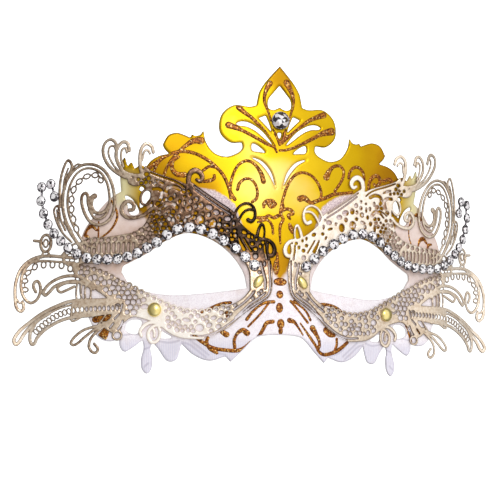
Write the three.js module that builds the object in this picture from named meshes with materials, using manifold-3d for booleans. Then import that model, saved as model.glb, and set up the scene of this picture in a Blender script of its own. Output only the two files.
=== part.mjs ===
// Masquerade half mask, lying face up: a moulded shell, two cut metal sheets around the eyes,
// two rhinestone cup chains, one crown stone and four rivets.
// Millimetres. +X is the viewer's right, +Y is towards the crown, +Z is the front of the face.
import * as THREE from 'three';
import { mergeVertices } from 'three/addons/utils/BufferGeometryUtils.js';
import Module from 'manifold-3d';

// Wall thicknesses and the clearance between pieces that lie on each other
const SHELL_THICKNESS = 1.5;
const METAL_THICKNESS = 0.7;
const CLEARANCE = 0.5;

// The face surface, measured at the underside of the metal sheets
const CREST_HEIGHT = 37.5;
const WRAP_DROP = 40;
const WRAP_HALF_WIDTH = 100;
const TIP_BEND = 2;
const RELIEFS = [
  { name: 'nose ridge', rise: 3.5, x: 0, y: -42, width: 17, height: 20 },
  { name: 'temple lift', rise: 7, x: 61, y: 29, width: 16, height: 16 },
  { name: 'eye socket', rise: -4, x: 56, y: -27, width: 16, height: 14 },
  { name: 'cheek hollow', rise: -3.5, x: 48, y: -52, width: 17, height: 16 },
];
const FACET = 10;
const SAME_PLACE = 1e-3;
const STEPS_PER_SPAN = 4;
const OUTLINE_TOLERANCE = 0.4;

// Cup chain: the long row and the two stones beside its end
const CHAIN_COUNT = 25;
const CHAIN_END_COUNT = 2;
const LINE_STEPS = 400;

// Sections of one cup along the chain: half widths at its foot and top, and its height
const CUP_SECTIONS = [
  { along: -2.3, foot: 0.5, top: 0.5, height: 0.8 },
  { along: -1.1, foot: 2.15, top: 1.45, height: 1.9 },
  { along: 1.1, foot: 2.15, top: 1.45, height: 1.9 },
  { along: 2.3, foot: 0.5, top: 0.5, height: 0.8 },
];

// Crown stone
const CROWN_STONE_PLACE = [0, 38];
const CROWN_STONE_RADIUS = 3.7;
const CROWN_STONE_TABLE = 2.1;
const CROWN_STONE_GIRDLE = 1.1;
const CROWN_STONE_HEIGHT = 2.9;
const CROWN_STONE_SIDES = 16;

// Rivets
const OUTER_RIVET = { x: 47.8, y: -38.8, radius: 2.7, dome: 1.7 };
const INNER_RIVET = { x: 8.8, y: -27.8, radius: 2.0, dome: 1.3 };
const SHANK_RADIUS = 0.9;
const SHANK_HOLE_RADIUS = 1.3;
const SHANK_HOLE_LENGTH = 12;
const BACK_HEAD_RADIUS = 1.8;
const BACK_HEAD_THICKNESS = 0.6;
const RIVET_SIDES = 10;

// Flat pads moulded on the inside of the temples, where a band or ribbon is glued
const PAD_PLACE = [68, -14];
const PAD_RADIUS = 5;
const PAD_RAISE = 1.6;
const PAD_PROUD = 0.8;
const PAD_SIDES = 16;

const wasm = await Module();
wasm.setup();

function smoothMax(a, b, bend) {
  return 0.5 * (a + b + Math.hypot(a - b, bend));
}

function faceHeight(x, y) {
  const side = Math.abs(x);
  let height = CREST_HEIGHT - WRAP_DROP * (side / WRAP_HALF_WIDTH) ** 2;
  for (const relief of RELIEFS) {
    const across = (side - relief.x) / relief.width;
    const along = (y - relief.y) / relief.height;
    height += relief.rise * Math.exp(-across * across - along * along);
  }
  return smoothMax(height, 0, TIP_BEND);
}

function faceNormal(x, y) {
  const step = 0.01;
  const slopeX = (faceHeight(x + step, y) - faceHeight(x - step, y)) / (2 * step);
  const slopeY = (faceHeight(x, y + step) - faceHeight(x, y - step)) / (2 * step);
  return new THREE.Vector3(-slopeX, -slopeY, 1);
}

function onFace(x, y, offset) {
  return new THREE.Vector3(x, y, faceHeight(x, y)).addScaledVector(faceNormal(x, y).normalize(), offset);
}

// A geometry with only its positions, each corner held once
function indexed(geometry) {
  const plain = geometry.clone();
  plain.deleteAttribute('normal');
  plain.deleteAttribute('uv');
  return mergeVertices(plain, 1e-4);
}

// Closed meshes to solids and back
function toSolid(geometry) {
  const merged = indexed(geometry);
  const vertProperties = new Float32Array(merged.attributes.position.array);
  const triVerts = new Uint32Array(merged.index.array);
  return new wasm.Manifold(new wasm.Mesh({ numProp: 3, vertProperties, triVerts }));
}

function toGeometry(solid) {
  const mesh = solid.getMesh();
  const geometry = new THREE.BufferGeometry();
  geometry.setAttribute('position', new THREE.BufferAttribute(new Float32Array(mesh.vertProperties), 3));
  geometry.setIndex(new THREE.BufferAttribute(new Uint32Array(mesh.triVerts), 1));
  return geometry;
}

function joinAll(geometries) {
  return geometries.map(toSolid).reduce((sum, solid) => sum.add(solid));
}

// Leaves out the points that lie nearly on the line between their neighbours
function thinned(outline) {
  const kept = [];
  for (let i = 0; i < outline.length; i += 1) {
    const before = kept.at(-1) ?? outline.at(-1);
    const chord = outline[(i + 1) % outline.length].clone().sub(before);
    const across = Math.abs(chord.cross(outline[i].clone().sub(before))) / chord.length();
    if (across > OUTLINE_TOLERANCE) {
      kept.push(outline[i]);
    }
  }
  return kept;
}

// Flat outlines: each section is a smooth run of points, and sections meet at corners
function smoothRun(points) {
  if (points.length === 2) {
    return points.map(([x, y]) => new THREE.Vector2(x, y));
  }
  const curve = new THREE.SplineCurve(points.map(([x, y]) => new THREE.Vector2(x, y)));
  return curve.getPoints((points.length - 1) * STEPS_PER_SPAN);
}

function joinRuns(sections) {
  const outline = [];
  for (const section of sections) {
    const run = smoothRun(section);
    run.pop();
    outline.push(...run);
  }
  return thinned(outline);
}

function mirrored(points) {
  return points.map((point) => new THREE.Vector2(-point.x, point.y));
}

function closedCurve(points) {
  const curve = new THREE.CatmullRomCurve3(points.map(([x, y]) => new THREE.Vector3(x, y, 0)), true);
  const loop = curve.getPoints(points.length * STEPS_PER_SPAN).slice(0, -1);
  return thinned(loop.map((place) => new THREE.Vector2(place.x, place.y)));
}

function ovalOutline([x, y, radiusX, radiusY, turn = 0], sides) {
  const outline = [];
  for (let i = 0; i < sides; i += 1) {
    const angle = (i / sides) * 2 * Math.PI;
    const point = new THREE.Vector2(radiusX * Math.cos(angle), radiusY * Math.sin(angle));
    outline.push(point.rotateAround(new THREE.Vector2(), THREE.MathUtils.degToRad(turn)).add(new THREE.Vector2(x, y)));
  }
  return outline;
}

function flatPlate(outline, holes = []) {
  const shape = new THREE.Shape(THREE.ShapeUtils.isClockWise(outline) ? [...outline].reverse() : outline);
  shape.holes = holes.map((hole) => new THREE.Path(hole));
  return new THREE.ExtrudeGeometry(shape, { depth: 1, bevelEnabled: false });
}

// A flat strip of even width along a smooth line
function flatRibbon(points, width) {
  const curve = new THREE.SplineCurve(points.map(([x, y]) => new THREE.Vector2(x, y)));
  const count = (points.length - 1) * STEPS_PER_SPAN;
  const left = [];
  const right = [];
  for (let i = 0; i <= count; i += 1) {
    const place = curve.getPoint(i / count);
    const along = curve.getTangent(i / count);
    const across = new THREE.Vector2(-along.y, along.x).multiplyScalar(width / 2);
    left.push(place.clone().add(across));
    right.push(place.clone().sub(across));
  }
  return flatPlate(thinned([...left, ...right.reverse()]));
}

function flatRing([x, y, radiusX, radiusY, turn], width, sides) {
  const outer = ovalOutline([x, y, radiusX + width / 2, radiusY + width / 2, turn], sides);
  const inner = ovalOutline([x, y, radiusX - width / 2, radiusY - width / 2, turn], sides);
  return flatPlate(outer, [inner]);
}

function boxBetween(min, max) {
  const size = new THREE.Vector3().subVectors(max, min);
  const box = new THREE.BoxGeometry(size.x, size.y, size.z);
  return toSolid(box.translate(min.x + size.x / 2, min.y + size.y / 2, min.z + size.z / 2));
}

// Cuts a solid into slices of one facet width along an axis
function slices(solid, axis) {
  const { min, max } = solid.boundingBox();
  const pieces = [];
  for (let i = Math.floor(min[axis] / FACET); i * FACET < max[axis]; i += 1) {
    const low = new THREE.Vector3(min[0] - 1, min[1] - 1, min[2] - 1).setComponent(axis, i * FACET);
    const high = new THREE.Vector3(max[0] + 1, max[1] + 1, max[2] + 1).setComponent(axis, (i + 1) * FACET);
    pieces.push(solid.intersect(boxBetween(low, high)));
  }
  return pieces;
}

function onFacetLine(corners, axis) {
  const line = Math.round(corners[0].getComponent(axis) / FACET) * FACET;
  return corners.every((corner) => Math.abs(corner.getComponent(axis) - line) < SAME_PLACE);
}

function trianglesOf(geometry) {
  const position = geometry.attributes.position;
  const triangles = [];
  for (let i = 0; i < geometry.index.count; i += 3) {
    triangles.push([0, 1, 2].map((k) => new THREE.Vector3().fromBufferAttribute(position, geometry.index.getX(i + k))));
  }
  return triangles;
}

// Corners on edges that have no neighbour: there the facets of two squares meet unevenly
function seamCorners(geometry) {
  const edges = new Set();
  for (let i = 0; i < geometry.index.count; i += 1) {
    const next = i % 3 === 2 ? i - 2 : i + 1;
    edges.add(`${geometry.index.getX(i)} ${geometry.index.getX(next)}`);
  }
  const open = new Set();
  for (const edge of edges) {
    const [from, to] = edge.split(' ');
    if (!edges.has(`${to} ${from}`)) {
      open.add(Number(from));
      open.add(Number(to));
    }
  }
  return [...open].map((i) => new THREE.Vector3().fromBufferAttribute(geometry.attributes.position, i));
}

function isInsideEdge(corner, start, end) {
  const nearest = new THREE.Line3(start, end).closestPointToPoint(corner, true, new THREE.Vector3());
  const isOnLine = nearest.distanceTo(corner) < SAME_PLACE;
  return isOnLine && corner.distanceTo(start) > SAME_PLACE && corner.distanceTo(end) > SAME_PLACE;
}

// Splits a triangle wherever one of the corners lies on its edges
function splitAt(corners, triangle) {
  for (let k = 0; k < 3; k += 1) {
    const [start, end, opposite] = [triangle[k], triangle[(k + 1) % 3], triangle[(k + 2) % 3]];
    const corner = corners.find((place) => isInsideEdge(place, start, end));
    if (corner) {
      return [...splitAt(corners, [start, corner, opposite]), ...splitAt(corners, [corner, end, opposite])];
    }
  }
  return [triangle];
}

function fromTriangles(triangles) {
  return mergeVertices(new THREE.BufferGeometry().setFromPoints(triangles.flat()), SAME_PLACE);
}

// Divides a flat plate into square facets, so that it can follow a curved surface
function divideIntoFacets(solid) {
  const triangles = [];
  for (const strip of slices(solid, 0)) {
    for (const cell of slices(strip, 1)) {
      const faces = trianglesOf(toGeometry(cell));
      triangles.push(...faces.filter((face) => !onFacetLine(face, 0) && !onFacetLine(face, 1)));
    }
  }
  const corners = seamCorners(fromTriangles(triangles));
  return fromTriangles(triangles.flatMap((triangle) => splitAt(corners, triangle)));
}

// Lays a flat plate, 0 to 1 thick, on the face surface between two depths measured along the normal
function drape(flat, bottom, top) {
  const draped = divideIntoFacets(flat);
  const position = draped.attributes.position;
  for (let i = 0; i < position.count; i += 1) {
    const x = position.getX(i);
    const y = position.getY(i);
    const offset = THREE.MathUtils.lerp(bottom, top, position.getZ(i));
    position.setZ(i, faceHeight(x, y) + offset * faceNormal(x, y).length());
  }
  return draped;
}

// Stands a turned piece on the face surface, its axis along the normal
function standOnFace(geometry, [x, y], offset) {
  const normal = faceNormal(x, y).normalize();
  const turn = new THREE.Quaternion().setFromUnitVectors(new THREE.Vector3(0, 0, 1), normal);
  const place = onFace(x, y, offset);
  return geometry.clone().applyQuaternion(turn).translate(place.x, place.y, place.z);
}

function turned(profile, sides) {
  const points = profile.map(([radius, height]) => new THREE.Vector2(radius, height));
  return new THREE.LatheGeometry(points, sides).rotateX(Math.PI / 2);
}

function mirrorGeometry(geometry) {
  const copy = geometry.clone().scale(-1, 1, 1);
  const index = copy.index.array;
  for (let i = 0; i < index.length; i += 3) {
    [index[i + 1], index[i + 2]] = [index[i + 2], index[i + 1]];
  }
  return copy;
}

// Outline of the shell's right half, from the crown tip down to the nose
const SHELL_EDGE = {
  crownSide: [[0, 60.7], [3.3, 57.4], [6.3, 53.7], [8.4, 50], [9.1, 47], [9.6, 44.3]],
  crownLobe: [[9.6, 44.3], [12.6, 43.7], [18.8, 44.1], [23.6, 40], [24.2, 33.2], [20.2, 28.9], [15.4, 28.8]],
  crescent: [[15.4, 28.8], [15.1, 26.6], [17, 24.5], [21.6, 22.9], [26.4, 24.5], [29.6, 29], [30.6, 33.8]],
  spikeFoot: [[30.6, 33.8], [31.8, 31.8], [33.8, 31.3], [35.2, 31.9]],
  spikeStep: [[35.2, 31.9], [35.7, 30.5]],
  sideLeaf: [[35.7, 30.5], [38.2, 31.6], [41.2, 32.4], [44.6, 31.2], [46.8, 27.3]],
  leafUnderside: [[46.8, 27.3], [45.8, 25.4], [44, 23.7]],
  shoulder: [[44, 23.7], [47.6, 22.9], [50.9, 21], [53.2, 18.2]],
  featherLow: [[53.2, 18.2], [55.4, 19], [57.4, 17.6]],
  featherMiddle: [[57.4, 17.6], [58.8, 20.2], [60.2, 18.6]],
  featherHigh: [[60.2, 18.6], [61.6, 22.2], [62.9, 18.4], [62.8, 14], [62.2, 9]],
  temple: [[62.2, 9], [65.4, 6.8], [68.4, 2], [72.6, -5], [76.2, -13], [77.6, -24], [76.8, -34], [72, -45]],
  jaw: [[72, -45], [70.6, -48.6], [67.5, -51], [64, -51.3], [61.4, -50]],
  petalSide: [[61.4, -50], [61.2, -53.2], [59.4, -55.5], [56.4, -54], [52.4, -50.8]],
  petalLong: [[52.4, -50.8], [52.9, -58], [52.4, -62.6], [50.4, -64.4], [48.6, -62], [48.4, -56], [48, -51.6]],
  petalRound: [[48, -51.6], [45.8, -55], [41.9, -59.1], [38.6, -57.8], [36.9, -53.4]],
  petalWide: [[36.9, -53.4], [32.8, -57.4], [27.2, -58.9], [20.9, -57.2]],
  spur: [[20.9, -57.2], [19, -59.3]],
  noseEdge: [[19, -59.3], [14.8, -55.2], [9.6, -50], [5, -48.8], [0, -48.7]],
};

// Openings in the shell's right half, each repeated on the left
const SHELL_OPENINGS = {
  eyeLow: [[13, -30.2], [20, -31.2], [30, -32.3], [40, -32.9], [49, -31.8], [57, -28.8], [61, -23.4]],
  eyeCorner: [[61, -23.4], [60.4, -21], [58, -19.6]],
  eyeHigh: [[58, -19.6], [51, -15.8], [44, -11], [36, -8.2], [27, -10.8], [19.5, -16.5], [14.6, -23.5], [13, -30.2]],
};
const SMALL_OPENINGS = {
  besideStone: [[6.3, 39.7], [8.7, 38.6], [6.8, 36.2], [4.6, 33.8], [4.3, 37.2]],
  lobeSlot: [[17.6, 36.4], [12.8, 37.4], [6.8, 33.3], [3.3, 27.6], [7.6, 31.3], [13.8, 35]],
  underLobe: [[11.1, 28.5], [8.6, 27.6], [5.9, 25.1], [8.4, 25.2], [11.1, 25.7]],
  foreheadSlit: [[11.5, 23], [7.4, 21.6], [3.6, 17], [1.8, 10.3], [4.3, 15], [7.6, 20.3]],
  templeDrop: [[60.6, 7.3], [57.6, 5.6], [55, 0.8], [56.6, -0.7], [58.6, 0], [59.6, 3.6]],
  cheekGap: [[52.8, -43.6], [55.6, -42.7], [57.2, -44.6], [57.6, -47.6], [54.6, -48]],
  petalGap: [[45.9, -46.9], [43, -48.4], [41.2, -49.8], [45.4, -49.9]],
};
const CROWN_WINDOW = [[0, 52.9], [2.4, 50], [4.6, 46.9], [4.6, 43.6], [2.4, 42.8], [0, 43.9]];

function shellOutline() {
  const right = joinRuns(Object.values(SHELL_EDGE));
  const left = mirrored(right).reverse();
  left.pop();
  const nose = new THREE.Vector2(...SHELL_EDGE.noseEdge.at(-1));
  return [...right, nose, ...left];
}

function shellHoles() {
  const rightHoles = [joinRuns(Object.values(SHELL_OPENINGS))];
  for (const opening of Object.values(SMALL_OPENINGS)) {
    rightHoles.push(closedCurve(opening));
  }
  const windowRight = smoothRun(CROWN_WINDOW);
  const windowLeft = mirrored(windowRight).reverse().slice(1, -1);
  return [...rightHoles, ...rightHoles.map(mirrored), [...windowRight, ...windowLeft]];
}

// The cut metal sheet of the right side
const PLATE_EDGE = {
  noseSide: [[9, -36.5], [5, -34], [3.6, -30], [3.6, -20], [4.5, -15], [5.5, -12]],
  bridge: [[5.5, -12], [9, -9], [10, -7]],
  browRail: [[10, -7], [18.5, -1], [24, 2.5], [30, 7], [36.2, 12.2]],
  browTop: [[36.2, 12.2], [45, 13.8], [53, 16.6], [61.8, 16.4]],
  clusterEnd: [[61.8, 16.4], [61, 13.2]],
  clusterLow: [[61, 13.2], [54.4, 12.4], [52.4, 8]],
  browEnd: [[52.4, 8], [52.2, 0], [53.6, -4.4], [57, -7.9], [63, -9.5], [73, -10.4], [79.6, -11.2]],
  templeEnd: [[79.6, -11.2], [85, -15.6]],
  templeSide: [[85, -15.6], [84, -20.2], [79.8, -24.6], [78.9, -34.9]],
  ladderEnd: [[78.9, -34.9], [73, -41.2], [68.6, -41.4]],
  jawPlate: [[68.6, -41.4], [67.4, -45.2], [64.6, -47.6], [61, -47]],
  jawSlope: [[61, -47], [58.6, -42.6], [54.6, -41.6], [50, -43.2], [45, -46.2]],
  lowBand: [[45, -46.2], [40, -49.8], [35.6, -50.9], [31, -50.8], [24, -48], [16, -41.5], [9, -36.5]],
};
const PLATE_EYE = {
  low: [[12.6, -31], [15.4, -35], [22, -38.9], [30, -39.8], [38, -38.5], [45, -35.6], [53, -32.2], [60, -28.2]],
  corner: [[60, -28.2], [66.4, -25], [72.6, -22.6], [73.2, -20.8]],
  high: [[73.2, -20.8], [66.3, -19.6], [58.3, -18.3], [50.7, -14.8], [43.2, -9.9], [35.4, -7.3], [27, -9.8],
    [18.4, -15.3], [12.9, -22], [12.6, -31]],
};
// Ovals cut in the plate: centre, half width, half height and turn in degrees
const PLATE_OVALS = [
  [17.4, -10.6, 2.4, 0.8, 50], [31.8, -2.6, 1.3, 1.7], [38.4, 5.4, 1, 1.7], [42.6, 9.6, 2.2, 1.1, 20],
  [42.4, 3.6, 2.2, 1], [48, 7.6, 1.3, 2.3], [42.6, -3.6, 1, 1.6], [49.4, -7.4, 1, 1.8], [54.6, -11, 1, 1.6],
  [59.4, -13, 0.9, 1.8], [63.6, -14, 0.9, 1.8], [67.8, -14.4, 0.9, 1.8], [72, -14.6, 0.9, 1.8],
  [76.4, -14.6, 0.9, 1.8], [77, -23.6, 1.6, 1.3], [71.4, -27.2, 1.6, 1.3], [68.6, -32.2, 1.6, 1.5],
  [74.6, -31.4, 0.7, 2.4], [77, -31.4, 0.6, 2.4], [62.4, -43.4, 1.6, 0.6, -55], [36.6, -47, 2, 1],
  [30.8, -47.4, 1.5, 1], [20.4, -41.8, 1.6, 0.9, -35],
];
const RIBBONS = [
  { name: 'swirl', width: 2, line: [[77, -13], [80.8, -9.5], [83.6, -3], [84.7, 5], [83.4, 13.6], [77.6, 20],
    [70.4, 17.2], [66.4, 10], [65.8, 2], [70.2, -3.4], [75.4, 0.6], [76.9, 5.5], [76.2, 8.2]] },
  { name: 'swirl hook', width: 1.6, line: [[66.4, 2.6], [69.4, 0.5], [72.9, 2.4], [73.6, 6], [71.9, 7.4]] },
  { name: 'swirl ring chain', width: 1.4, line: [[78.8, -10], [79.6, -4], [81.2, 3], [80.9, 10], [77.6, 15.4], [72.6, 16.2],
    [70.2, 13]] },
  { name: 'feather outer', width: 1.9, line: [[84.9, 6], [85.4, 14], [83.3, 22]] },
  { name: 'feather inner', width: 1.5, line: [[84, 12], [82.4, 17.4], [79.4, 20.4]] },
  { name: 'outside leaf', width: 2.2, line: [[80, -12.6], [84, -7.6], [86.6, -2], [87, 3]] },
  { name: 'bead stud', width: 1.3, line: [[93, -10.1], [96.3, -9.7]] },
  { name: 'upper whisker', width: 3, line: [[82, -18.2], [89, -17.9], [96, -19.2]] },
  { name: 'upper whisker rail', width: 1.5, line: [[94, -17.5], [99.8, -20.2], [102.8, -26], [103, -33], [101.4, -38.8]] },
  { name: 'upper whisker curl', width: 1.5, line: [[96.4, -19.4], [100, -24], [100.1, -30.6], [96.6, -35.2], [93.1, -31.4],
    [94.3, -27]] },
  { name: 'middle whisker', width: 2.6, line: [[76, -26.4], [82, -26], [87.4, -28], [90.9, -31.8]] },
  { name: 'middle whisker lobe', width: 2, line: [[77, -28.2], [82, -28.4], [85.2, -30.6]] },
  { name: 'ladder whisker', width: 5.6, line: [[74, -38.1], [81, -38.6], [87.6, -41.4], [95, -47.6]] },
  { name: 'ladder whisker tip', width: 2.3, line: [[94.9, -46], [95.3, -52.4]] },
  { name: 'long whisker tip', width: 2.4, line: [[86.4, -38.4], [93, -41.8], [98.4, -46.4], [101.8, -52]] },
  { name: 'square tab', width: 1.8, line: [[71, -41], [80, -42]] },
  { name: 'lower hairpin', width: 2, line: [[65, -44.6], [72.4, -46.8], [79, -52]] },
  { name: 'lowest hairpin', width: 1.9, line: [[66, -46], [70.8, -49], [72.3, -52.4], [71, -54.9]] },
  { name: 'rivet curl outer', width: 1.9, line: [[49, -43.2], [52.6, -45.4], [53.6, -48.6]] },
  { name: 'rivet curl inner', width: 1.7, line: [[45.2, -45.4], [49.4, -45.8], [50.9, -48.6], [48.6, -51.2], [46.6, -48.6]] },
  { name: 'hook long', width: 1.7, line: [[59, 15], [64.6, 17.8], [68.4, 23.4], [68, 28.4], [65.3, 27]] },
  { name: 'hook short', width: 1.5, line: [[60.8, 15.4], [63.8, 20], [63.8, 25.6], [61, 27.2], [60.5, 24.6]] },
  { name: 'hook brow', width: 1.7, line: [[54.6, 15.6], [55.4, 21.6], [53.6, 26.2], [51.3, 24.2]] },
  { name: 'temple curl', width: 1.5, line: [[51, 1.2], [55.5, -1.4], [60.6, -0.8], [61, 3.3], [58, 3.9], [57.6, 1.8]] },
  { name: 'brow curl', width: 1.5, line: [[35, 10.4], [36.2, 14], [33.8, 16.9], [31.2, 14.8], [31.8, 12.6]] },
  { name: 'bridge curl large', width: 1.6, line: [[18.4, -4], [17.2, 0.4], [13.6, 3.2], [10.4, 0.4], [12.2, -2.6],
    [14, -1]] },
  { name: 'bridge curl small', width: 1.4, line: [[9.6, -10], [9, -5.8], [7.2, -4.4], [6.2, -7.6]] },
  { name: 'bridge curl low', width: 1.5, line: [[7, -11.4], [3.6, -11.7], [2.9, -15.8]] },
];
// Rings: centre, middle half width and half height, turn, and the width of the metal
const RINGS = [
  { name: 'bead ring', oval: [91.2, -12.7, 1.9, 4.8], width: 1.2 },
  { name: 'jaw ring', oval: [62.4, -48.6, 1.6, 1.6], width: 1.3 },
  { name: 'brow oval', oval: [52.6, 6.2, 1.9, 3.2], width: 1.2 },
];
const HOLE_SIDES = 6;
const RING_SIDES = 10;

function metalSheet() {
  const plateHoles = [joinRuns(Object.values(PLATE_EYE))];
  for (const oval of PLATE_OVALS) {
    plateHoles.push(ovalOutline(oval, HOLE_SIDES));
  }
  const pieces = [flatPlate(joinRuns(Object.values(PLATE_EDGE)), plateHoles)];
  for (const ribbon of RIBBONS) {
    pieces.push(flatRibbon(ribbon.line, ribbon.width));
  }
  for (const ring of RINGS) {
    pieces.push(flatRing(ring.oval, ring.width, RING_SIDES));
  }
  return drape(joinAll(pieces), 0, METAL_THICKNESS);
}

// The cup chain: its line over the metal, from the nose round the eye to the curl outside the swirl
const CHAIN_LINE = [
  [10.3, -21.3], [17.7, -14.4], [26.5, -8.7], [35.4, -6.1], [43.8, -8.9], [51.1, -13.8], [58.5, -17.2],
  [66.3, -18.4], [74.2, -17.7], [81.6, -13.5], [87.2, -7.4], [91.8, 1.2], [93.2, 7.4], [92.9, 12.4],
];
const CHAIN_END_LINE = [[89.3, 13.4], [87.3, 7.6]];

// Even steps along a flat line, measured over the face surface
function evenPlaces(points, count) {
  const curve = new THREE.SplineCurve(points.map(([x, y]) => new THREE.Vector2(x, y)));
  const fine = curve.getPoints(LINE_STEPS);
  const lengths = [0];
  for (let i = 1; i < fine.length; i += 1) {
    const rise = faceHeight(fine[i].x, fine[i].y) - faceHeight(fine[i - 1].x, fine[i - 1].y);
    lengths.push(lengths[i - 1] + Math.hypot(fine[i].distanceTo(fine[i - 1]), rise));
  }
  const places = [];
  for (let i = 0; i < count; i += 1) {
    const wanted = (lengths.at(-1) * i) / (count - 1);
    const k = Math.max(lengths.findIndex((length) => length >= wanted), 1);
    const part = (wanted - lengths[k - 1]) / (lengths[k] - lengths[k - 1]);
    places.push(fine[k - 1].clone().lerp(fine[k], part));
  }
  return places;
}

// A closed bar through four-cornered sections, given in order along it
function barThrough(sections) {
  const corners = sections.flat();
  const index = [0, 2, 3, 0, 1, 2];
  for (let i = 0; i < sections.length - 1; i += 1) {
    for (let k = 0; k < 4; k += 1) {
      const [a, b] = [4 * i + k, 4 * i + ((k + 1) % 4)];
      index.push(a, b + 4, b, a, a + 4, b + 4);
    }
  }
  const last = corners.length - 4;
  index.push(last, last + 2, last + 1, last, last + 3, last + 2);
  const geometry = new THREE.BufferGeometry().setFromPoints(corners);
  return geometry.setIndex(index);
}

// A row of six-sided cups, each joined to the next by a narrow neck
function cupRow(points, count) {
  const places = evenPlaces(points, count).map(({ x, y }) => onFace(x, y, METAL_THICKNESS + CLEARANCE));
  const sections = [];
  places.forEach((place, i) => {
    const up = faceNormal(place.x, place.y).normalize();
    const forward = places[Math.min(i + 1, count - 1)].clone().sub(places[Math.max(i - 1, 0)]).normalize();
    const sideways = new THREE.Vector3().crossVectors(up, forward).normalize();
    for (const { along, foot, top, height } of CUP_SECTIONS) {
      const middle = place.clone().addScaledVector(forward, along);
      sections.push([
        middle.clone().addScaledVector(sideways, -foot),
        middle.clone().addScaledVector(sideways, -top).addScaledVector(up, height),
        middle.clone().addScaledVector(sideways, top).addScaledVector(up, height),
        middle.clone().addScaledVector(sideways, foot),
      ]);
    }
  });
  return barThrough(sections);
}

function cupChain() {
  return toGeometry(joinAll([cupRow(CHAIN_LINE, CHAIN_COUNT), cupRow(CHAIN_END_LINE, CHAIN_END_COUNT)]));
}

function crownStone() {
  const stone = turned([
    [0, 0],
    [CROWN_STONE_RADIUS, 0],
    [CROWN_STONE_RADIUS, CROWN_STONE_GIRDLE],
    [CROWN_STONE_TABLE, CROWN_STONE_HEIGHT],
    [0, CROWN_STONE_HEIGHT],
  ], CROWN_STONE_SIDES);
  return standOnFace(stone, CROWN_STONE_PLACE, 0);
}

// A dome head over the metal, a shank through both sheets and a flat head behind the shell
function rivet({ x, y, radius, dome }) {
  const under = METAL_THICKNESS + CLEARANCE;
  const back = -(CLEARANCE + SHELL_THICKNESS + CLEARANCE);
  const profile = [
    [0, back - BACK_HEAD_THICKNESS],
    [BACK_HEAD_RADIUS, back - BACK_HEAD_THICKNESS],
    [BACK_HEAD_RADIUS, back],
    [SHANK_RADIUS, back],
    [SHANK_RADIUS, under],
    [radius, under],
    [radius * 0.8, under + dome * 0.6],
    [radius * 0.4, under + dome * 0.95],
    [0, under + dome],
  ];
  return standOnFace(turned(profile, RIVET_SIDES), [x, y], 0);
}

function shankHole({ x, y }) {
  const tool = new THREE.CylinderGeometry(SHANK_HOLE_RADIUS, SHANK_HOLE_RADIUS, SHANK_HOLE_LENGTH, RIVET_SIDES);
  return toSolid(standOnFace(tool.rotateX(Math.PI / 2), [x, y], 0));
}

function moulding() {
  const flat = toSolid(flatPlate(shellOutline(), shellHoles()));
  const pad = new THREE.CylinderGeometry(PAD_RADIUS, PAD_RADIUS, PAD_RAISE, PAD_SIDES).rotateX(Math.PI / 2);
  const padDepth = -(CLEARANCE + SHELL_THICKNESS + PAD_PROUD - PAD_RAISE / 2);
  const rightPad = standOnFace(pad, PAD_PLACE, padDepth);
  let solid = toSolid(drape(flat, -(CLEARANCE + SHELL_THICKNESS), -CLEARANCE));
  solid = solid.add(toSolid(rightPad)).add(toSolid(mirrorGeometry(rightPad)));
  for (const place of [OUTER_RIVET, INNER_RIVET]) {
    solid = solid.subtract(shankHole(place));
    solid = solid.subtract(shankHole({ x: -place.x, y: place.y }));
  }
  return toGeometry(solid);
}

function sheetWithHoles() {
  const sheet = toSolid(metalSheet());
  return toGeometry(sheet.subtract(shankHole(OUTER_RIVET)).subtract(shankHole(INNER_RIVET)));
}

const GOLD_PAINT = new THREE.MeshStandardMaterial({ color: 0xe2b81a, roughness: 0.35, metalness: 0.3 });
const CHAMPAGNE_METAL = new THREE.MeshStandardMaterial({ color: 0xc9b79a, roughness: 0.3, metalness: 0.9 });
const CLEAR_STONE = new THREE.MeshStandardMaterial({ color: 0xe6e8f0, roughness: 0.05, metalness: 0.1 });
const BRASS = new THREE.MeshStandardMaterial({ color: 0xd8c36a, roughness: 0.3, metalness: 0.9 });

const mask = new THREE.Group();

function addPiece(name, geometry, material) {
  const piece = new THREE.Mesh(geometry, material);
  piece.name = name;
  mask.add(piece);
}

function addPair(name, geometry, material) {
  addPiece(`${name}_right`, geometry, material);
  addPiece(`${name}_left`, mirrorGeometry(geometry), material);
}

addPiece('mask_shell', moulding(), GOLD_PAINT);
addPair('filigree', sheetWithHoles(), CHAMPAGNE_METAL);
addPair('stone_chain', cupChain(), CLEAR_STONE);
addPiece('crown_stone', indexed(crownStone()), CLEAR_STONE);
addPair('outer_rivet', indexed(rivet(OUTER_RIVET)), BRASS);
addPair('inner_rivet', indexed(rivet(INNER_RIVET)), BRASS);

// The origin is the middle of the underside of the whole mask
const middle = new THREE.Box3().setFromObject(mask, true);
mask.position.set(0, -(middle.min.y + middle.max.y) / 2, -middle.min.z);

export default mask;
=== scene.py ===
import math

import bpy
import numpy as np
from mathutils import Matrix, Vector


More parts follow.
